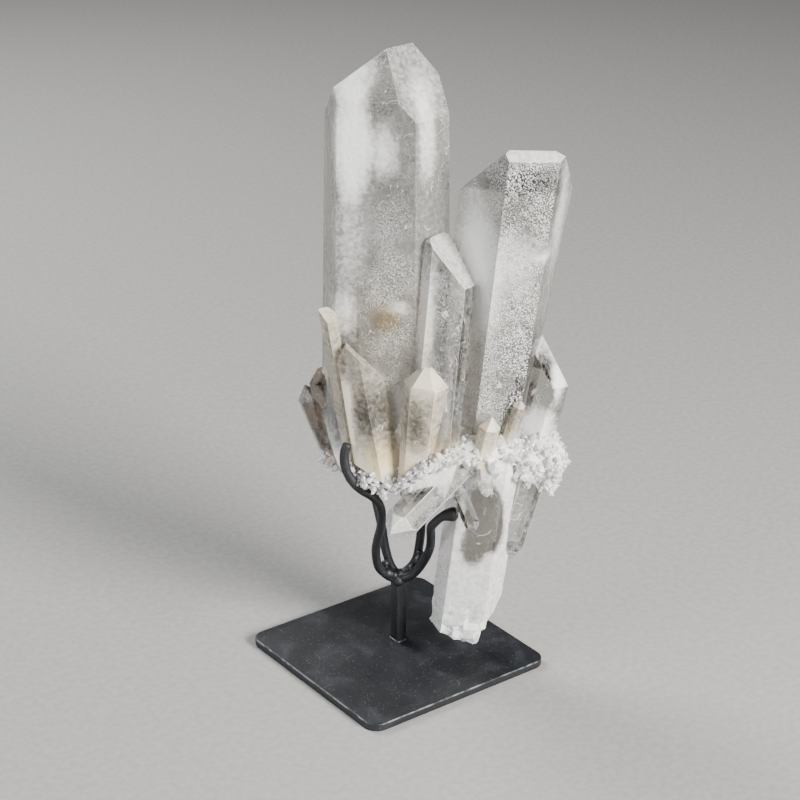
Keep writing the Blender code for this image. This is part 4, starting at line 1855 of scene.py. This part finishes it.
FRONT_ROUTE = (
    (-0.0194, -0.0190, 0.1060),
    (-0.0206, -0.0195, 0.1010),
    (-0.0199, -0.0195, 0.0950),
    (-0.0173, -0.0190, 0.0895),
    (-0.0142, -0.0172, 0.0852),
    (-0.0098, -0.0145, 0.0808),
    (-0.0072, -0.0115, 0.0760),
    (-0.0062, -0.0085, 0.0700),
    (-0.0066, -0.0050, 0.0620),
    (-0.0080, -0.0025, 0.0550),
    (-0.0087, 0.0000, 0.0480),
    (-0.0078, 0.0023, 0.0405),
    (-0.0050, 0.0038, 0.0358),
    (-0.0015, 0.0043, 0.03355),
    (0.0025, 0.0043, 0.03355),
    (0.0065, 0.0030, 0.0360),
    (0.0103, 0.0010, 0.0420),
    (0.0132, -0.0025, 0.0505),
    (0.0137, -0.0070, 0.0580),
    (0.0136, -0.0115, 0.0650),
    (0.0148, -0.0135, 0.0682),
    (0.0179, -0.0153, 0.0721),
    (0.0211, -0.0162, 0.0736),
    (0.0245, -0.0163, 0.0738),
)
BACK_ROUTE = (
    (-0.0130, 0.0195, 0.0822),
    (-0.0110, 0.0165, 0.0740),
    (-0.0085, 0.0125, 0.0640),
    (-0.0062, 0.0095, 0.0540),
    (-0.0046, 0.0085, 0.0440),
    (-0.0022, 0.0082, 0.0365),
    (0.0005, 0.0082, 0.03355),
    (0.0040, 0.0082, 0.0350),
    (0.0078, 0.0085, 0.0400),
    (0.0095, 0.0090, 0.0490),
    (0.0105, 0.0110, 0.0600),
    (0.0135, 0.0145, 0.0700),
    (0.0188, 0.0182, 0.0810),
)

# Weld metal on the rods: each a centre in the display frame and a radius.
BEADS = (
    ((-0.0040, 0.0042, 0.0358), 0.0024),
    ((-0.0012, 0.0040, 0.0350), 0.0022),
    ((0.0012, 0.0062, 0.0342), 0.0026),
    ((0.0035, 0.0060, 0.0352), 0.0022),
    ((0.0005, 0.0045, 0.0322), 0.0023),
    ((0.0005, 0.0080, 0.0325), 0.0022),
    ((-0.0020, 0.0070, 0.0350), 0.0021),
    ((0.0062, 0.0055, 0.0372), 0.0019),
    ((0.0090, 0.0045, 0.0415), 0.0021),
    ((0.0094, 0.0070, 0.0435), 0.0018),
    ((-0.0048, 0.0060, 0.0395), 0.0018),
    ((-0.0150, -0.0172, 0.0872), 0.0014),
    ((-0.0104, -0.0150, 0.0824), 0.0014),
)


@dataclass
class Welds:
    """The beads that join the rods to the post, and the post to the plate."""

    finish: bpy.types.Material
    foot_bead: float = 0.95 * MM
    foot_steps: int = 44
    foot_level: float = 3.5 * MM
    grid: float = 0.28 * MM
    soften_rounds: int = 3
    unevenness: float = 0.25
    lump_length: float = 2.5 * MM

    def build(self) -> None:
        """Builds and dresses the beads."""
        bm = bmesh.new()
        low, high = (Vector(corner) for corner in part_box("post"))
        centre = (low + high) / 2
        half = (high.x - low.x) / 2
        for number in range(self.foot_steps):
            angle = number * math.tau / self.foot_steps
            level = Vector((math.cos(angle), math.sin(angle), 0))
            reach = half / max(abs(level.x), abs(level.y))
            place = Vector((centre.x, centre.y, self.foot_level)) + level * reach
            self.blob(bm, place, self.foot_bead)
        for place, radius in BEADS:
            self.blob(bm, DISPLAY @ Vector(place), radius)
        beads = add_object("beads", mesh_from(bm, "beads"))
        remesh = beads.modifiers.new("melt", "REMESH")
        remesh.mode = "VOXEL"
        remesh.voxel_size = self.grid
        soften = beads.modifiers.new("soften", "SMOOTH")
        soften.iterations = self.soften_rounds
        mesh = settled(beads)
        mesh.shade_smooth()
        show("weld_beads", mesh, self.finish)

    def blob(self, bm: bmesh.types.BMesh, place: Vector, radius: float) -> None:
        """Adds one uneven drop of metal, as a ball in the mesh."""
        size = radius * (1.0 + self.unevenness * noise.noise(place / self.lump_length))
        bmesh.ops.create_icosphere(bm, subdivisions=3, radius=size, matrix=Matrix.Translation(place))


# The studio


@dataclass(frozen=True)
class SoftLight:
    """A soft box: where it stands in the display frame, its side, its power and its colour."""

    name: str
    place: Triple
    side: float
    power: float
    colour: str = "#FFFFFF"


@dataclass
class Studio:
    """A pale floor, soft light, and a camera where the photograph was taken from."""

    camera_place: Triple = (0.0012, -0.7719, 0.4632)
    camera_pitch: float = 24.2
    lens: float = 96.0
    sensor: float = 36.0
    floor_side: float = 12.0
    aim: Triple = (0.010, 0.0, 0.130)
    lights: tuple[SoftLight, ...] = (
        SoftLight("key", (0.80, -0.70, 0.58), 0.40, 44.0, "#FFFDFA"),
        SoftLight("fill", (-0.95, -0.60, 0.45), 0.60, 9.0, "#F2F6FF"),
        SoftLight("rim", (-0.70, 0.70, 0.85), 0.45, 16.0),
    )
    surround: str = "#808284"
    surround_strength: float = 0.16

    def build(self) -> None:
        """Builds the floor, the lights and the camera."""
        bm = bmesh.new()
        bmesh.ops.create_grid(bm, x_segments=1, y_segments=1, size=self.floor_side / 2)
        floor = add_object("floor", mesh_from(bm, "floor"))
        floor.data.materials.append(PaleFloor().material())
        floor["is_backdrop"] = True
        for light in self.lights:
            self.soft_box(light)
        self.world()
        data = bpy.data.cameras.new("camera")
        data.lens = self.lens
        data.sensor_width = self.sensor
        camera = add_object("camera", data)
        camera.location = DISPLAY @ Vector(self.camera_place)
        camera.rotation_euler = (math.radians(90 - self.camera_pitch), 0.0, DISPLAY_TURN)
        bpy.context.scene.camera = camera

    def soft_box(self, light: SoftLight) -> None:
        """Adds one soft box, aimed at the middle of the stone.

        Args:
            light: The soft box.
        """
        data = bpy.data.lights.new(light.name, "AREA")
        data.shape = "SQUARE"
        data.size = light.side
        data.energy = light.power
        data.color = linear(light.colour)[:3]
        lamp = add_object(light.name, data)
        lamp.location = DISPLAY @ Vector(light.place)
        aim = DISPLAY @ Vector(self.aim)
        lamp.rotation_euler = (aim - lamp.location).to_track_quat("-Z", "Y").to_euler()

    def world(self) -> None:
        """Surrounds the scene with an even grey."""
        world = bpy.data.worlds.new("studio")
        world.use_nodes = True
        background = world.node_tree.nodes["Background"]
        background.inputs["Color"].default_value = linear(self.surround)
        background.inputs["Strength"].default_value = self.surround_strength
        bpy.context.scene.world = world


def main() -> None:
    """Builds the studio, the stand and the stone."""
    logging.basicConfig(level=logging.INFO, format="%(name)s %(message)s")
    Studio().build()
    paint = SatinBlackPaint().material()
    BasePlate(paint).build()
    Post(paint).build()
    Fork("front_rod", "front_fork", FRONT_ROUTE, paint, swell=0.85).build()
    Fork("back_rod", "back_fork", BACK_ROUTE, paint).build()
    Welds(paint).build()
    body = QuartzCluster().build()
    HealedFractures().build(body)
    bpy.context.view_layer.update()
    boxes = {"cad": CAD_BOX, "visual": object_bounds()}
    {name: [list(corner) for corner in box] for name, box in boxes.items()}


if __name__ == "__main__":
    main()
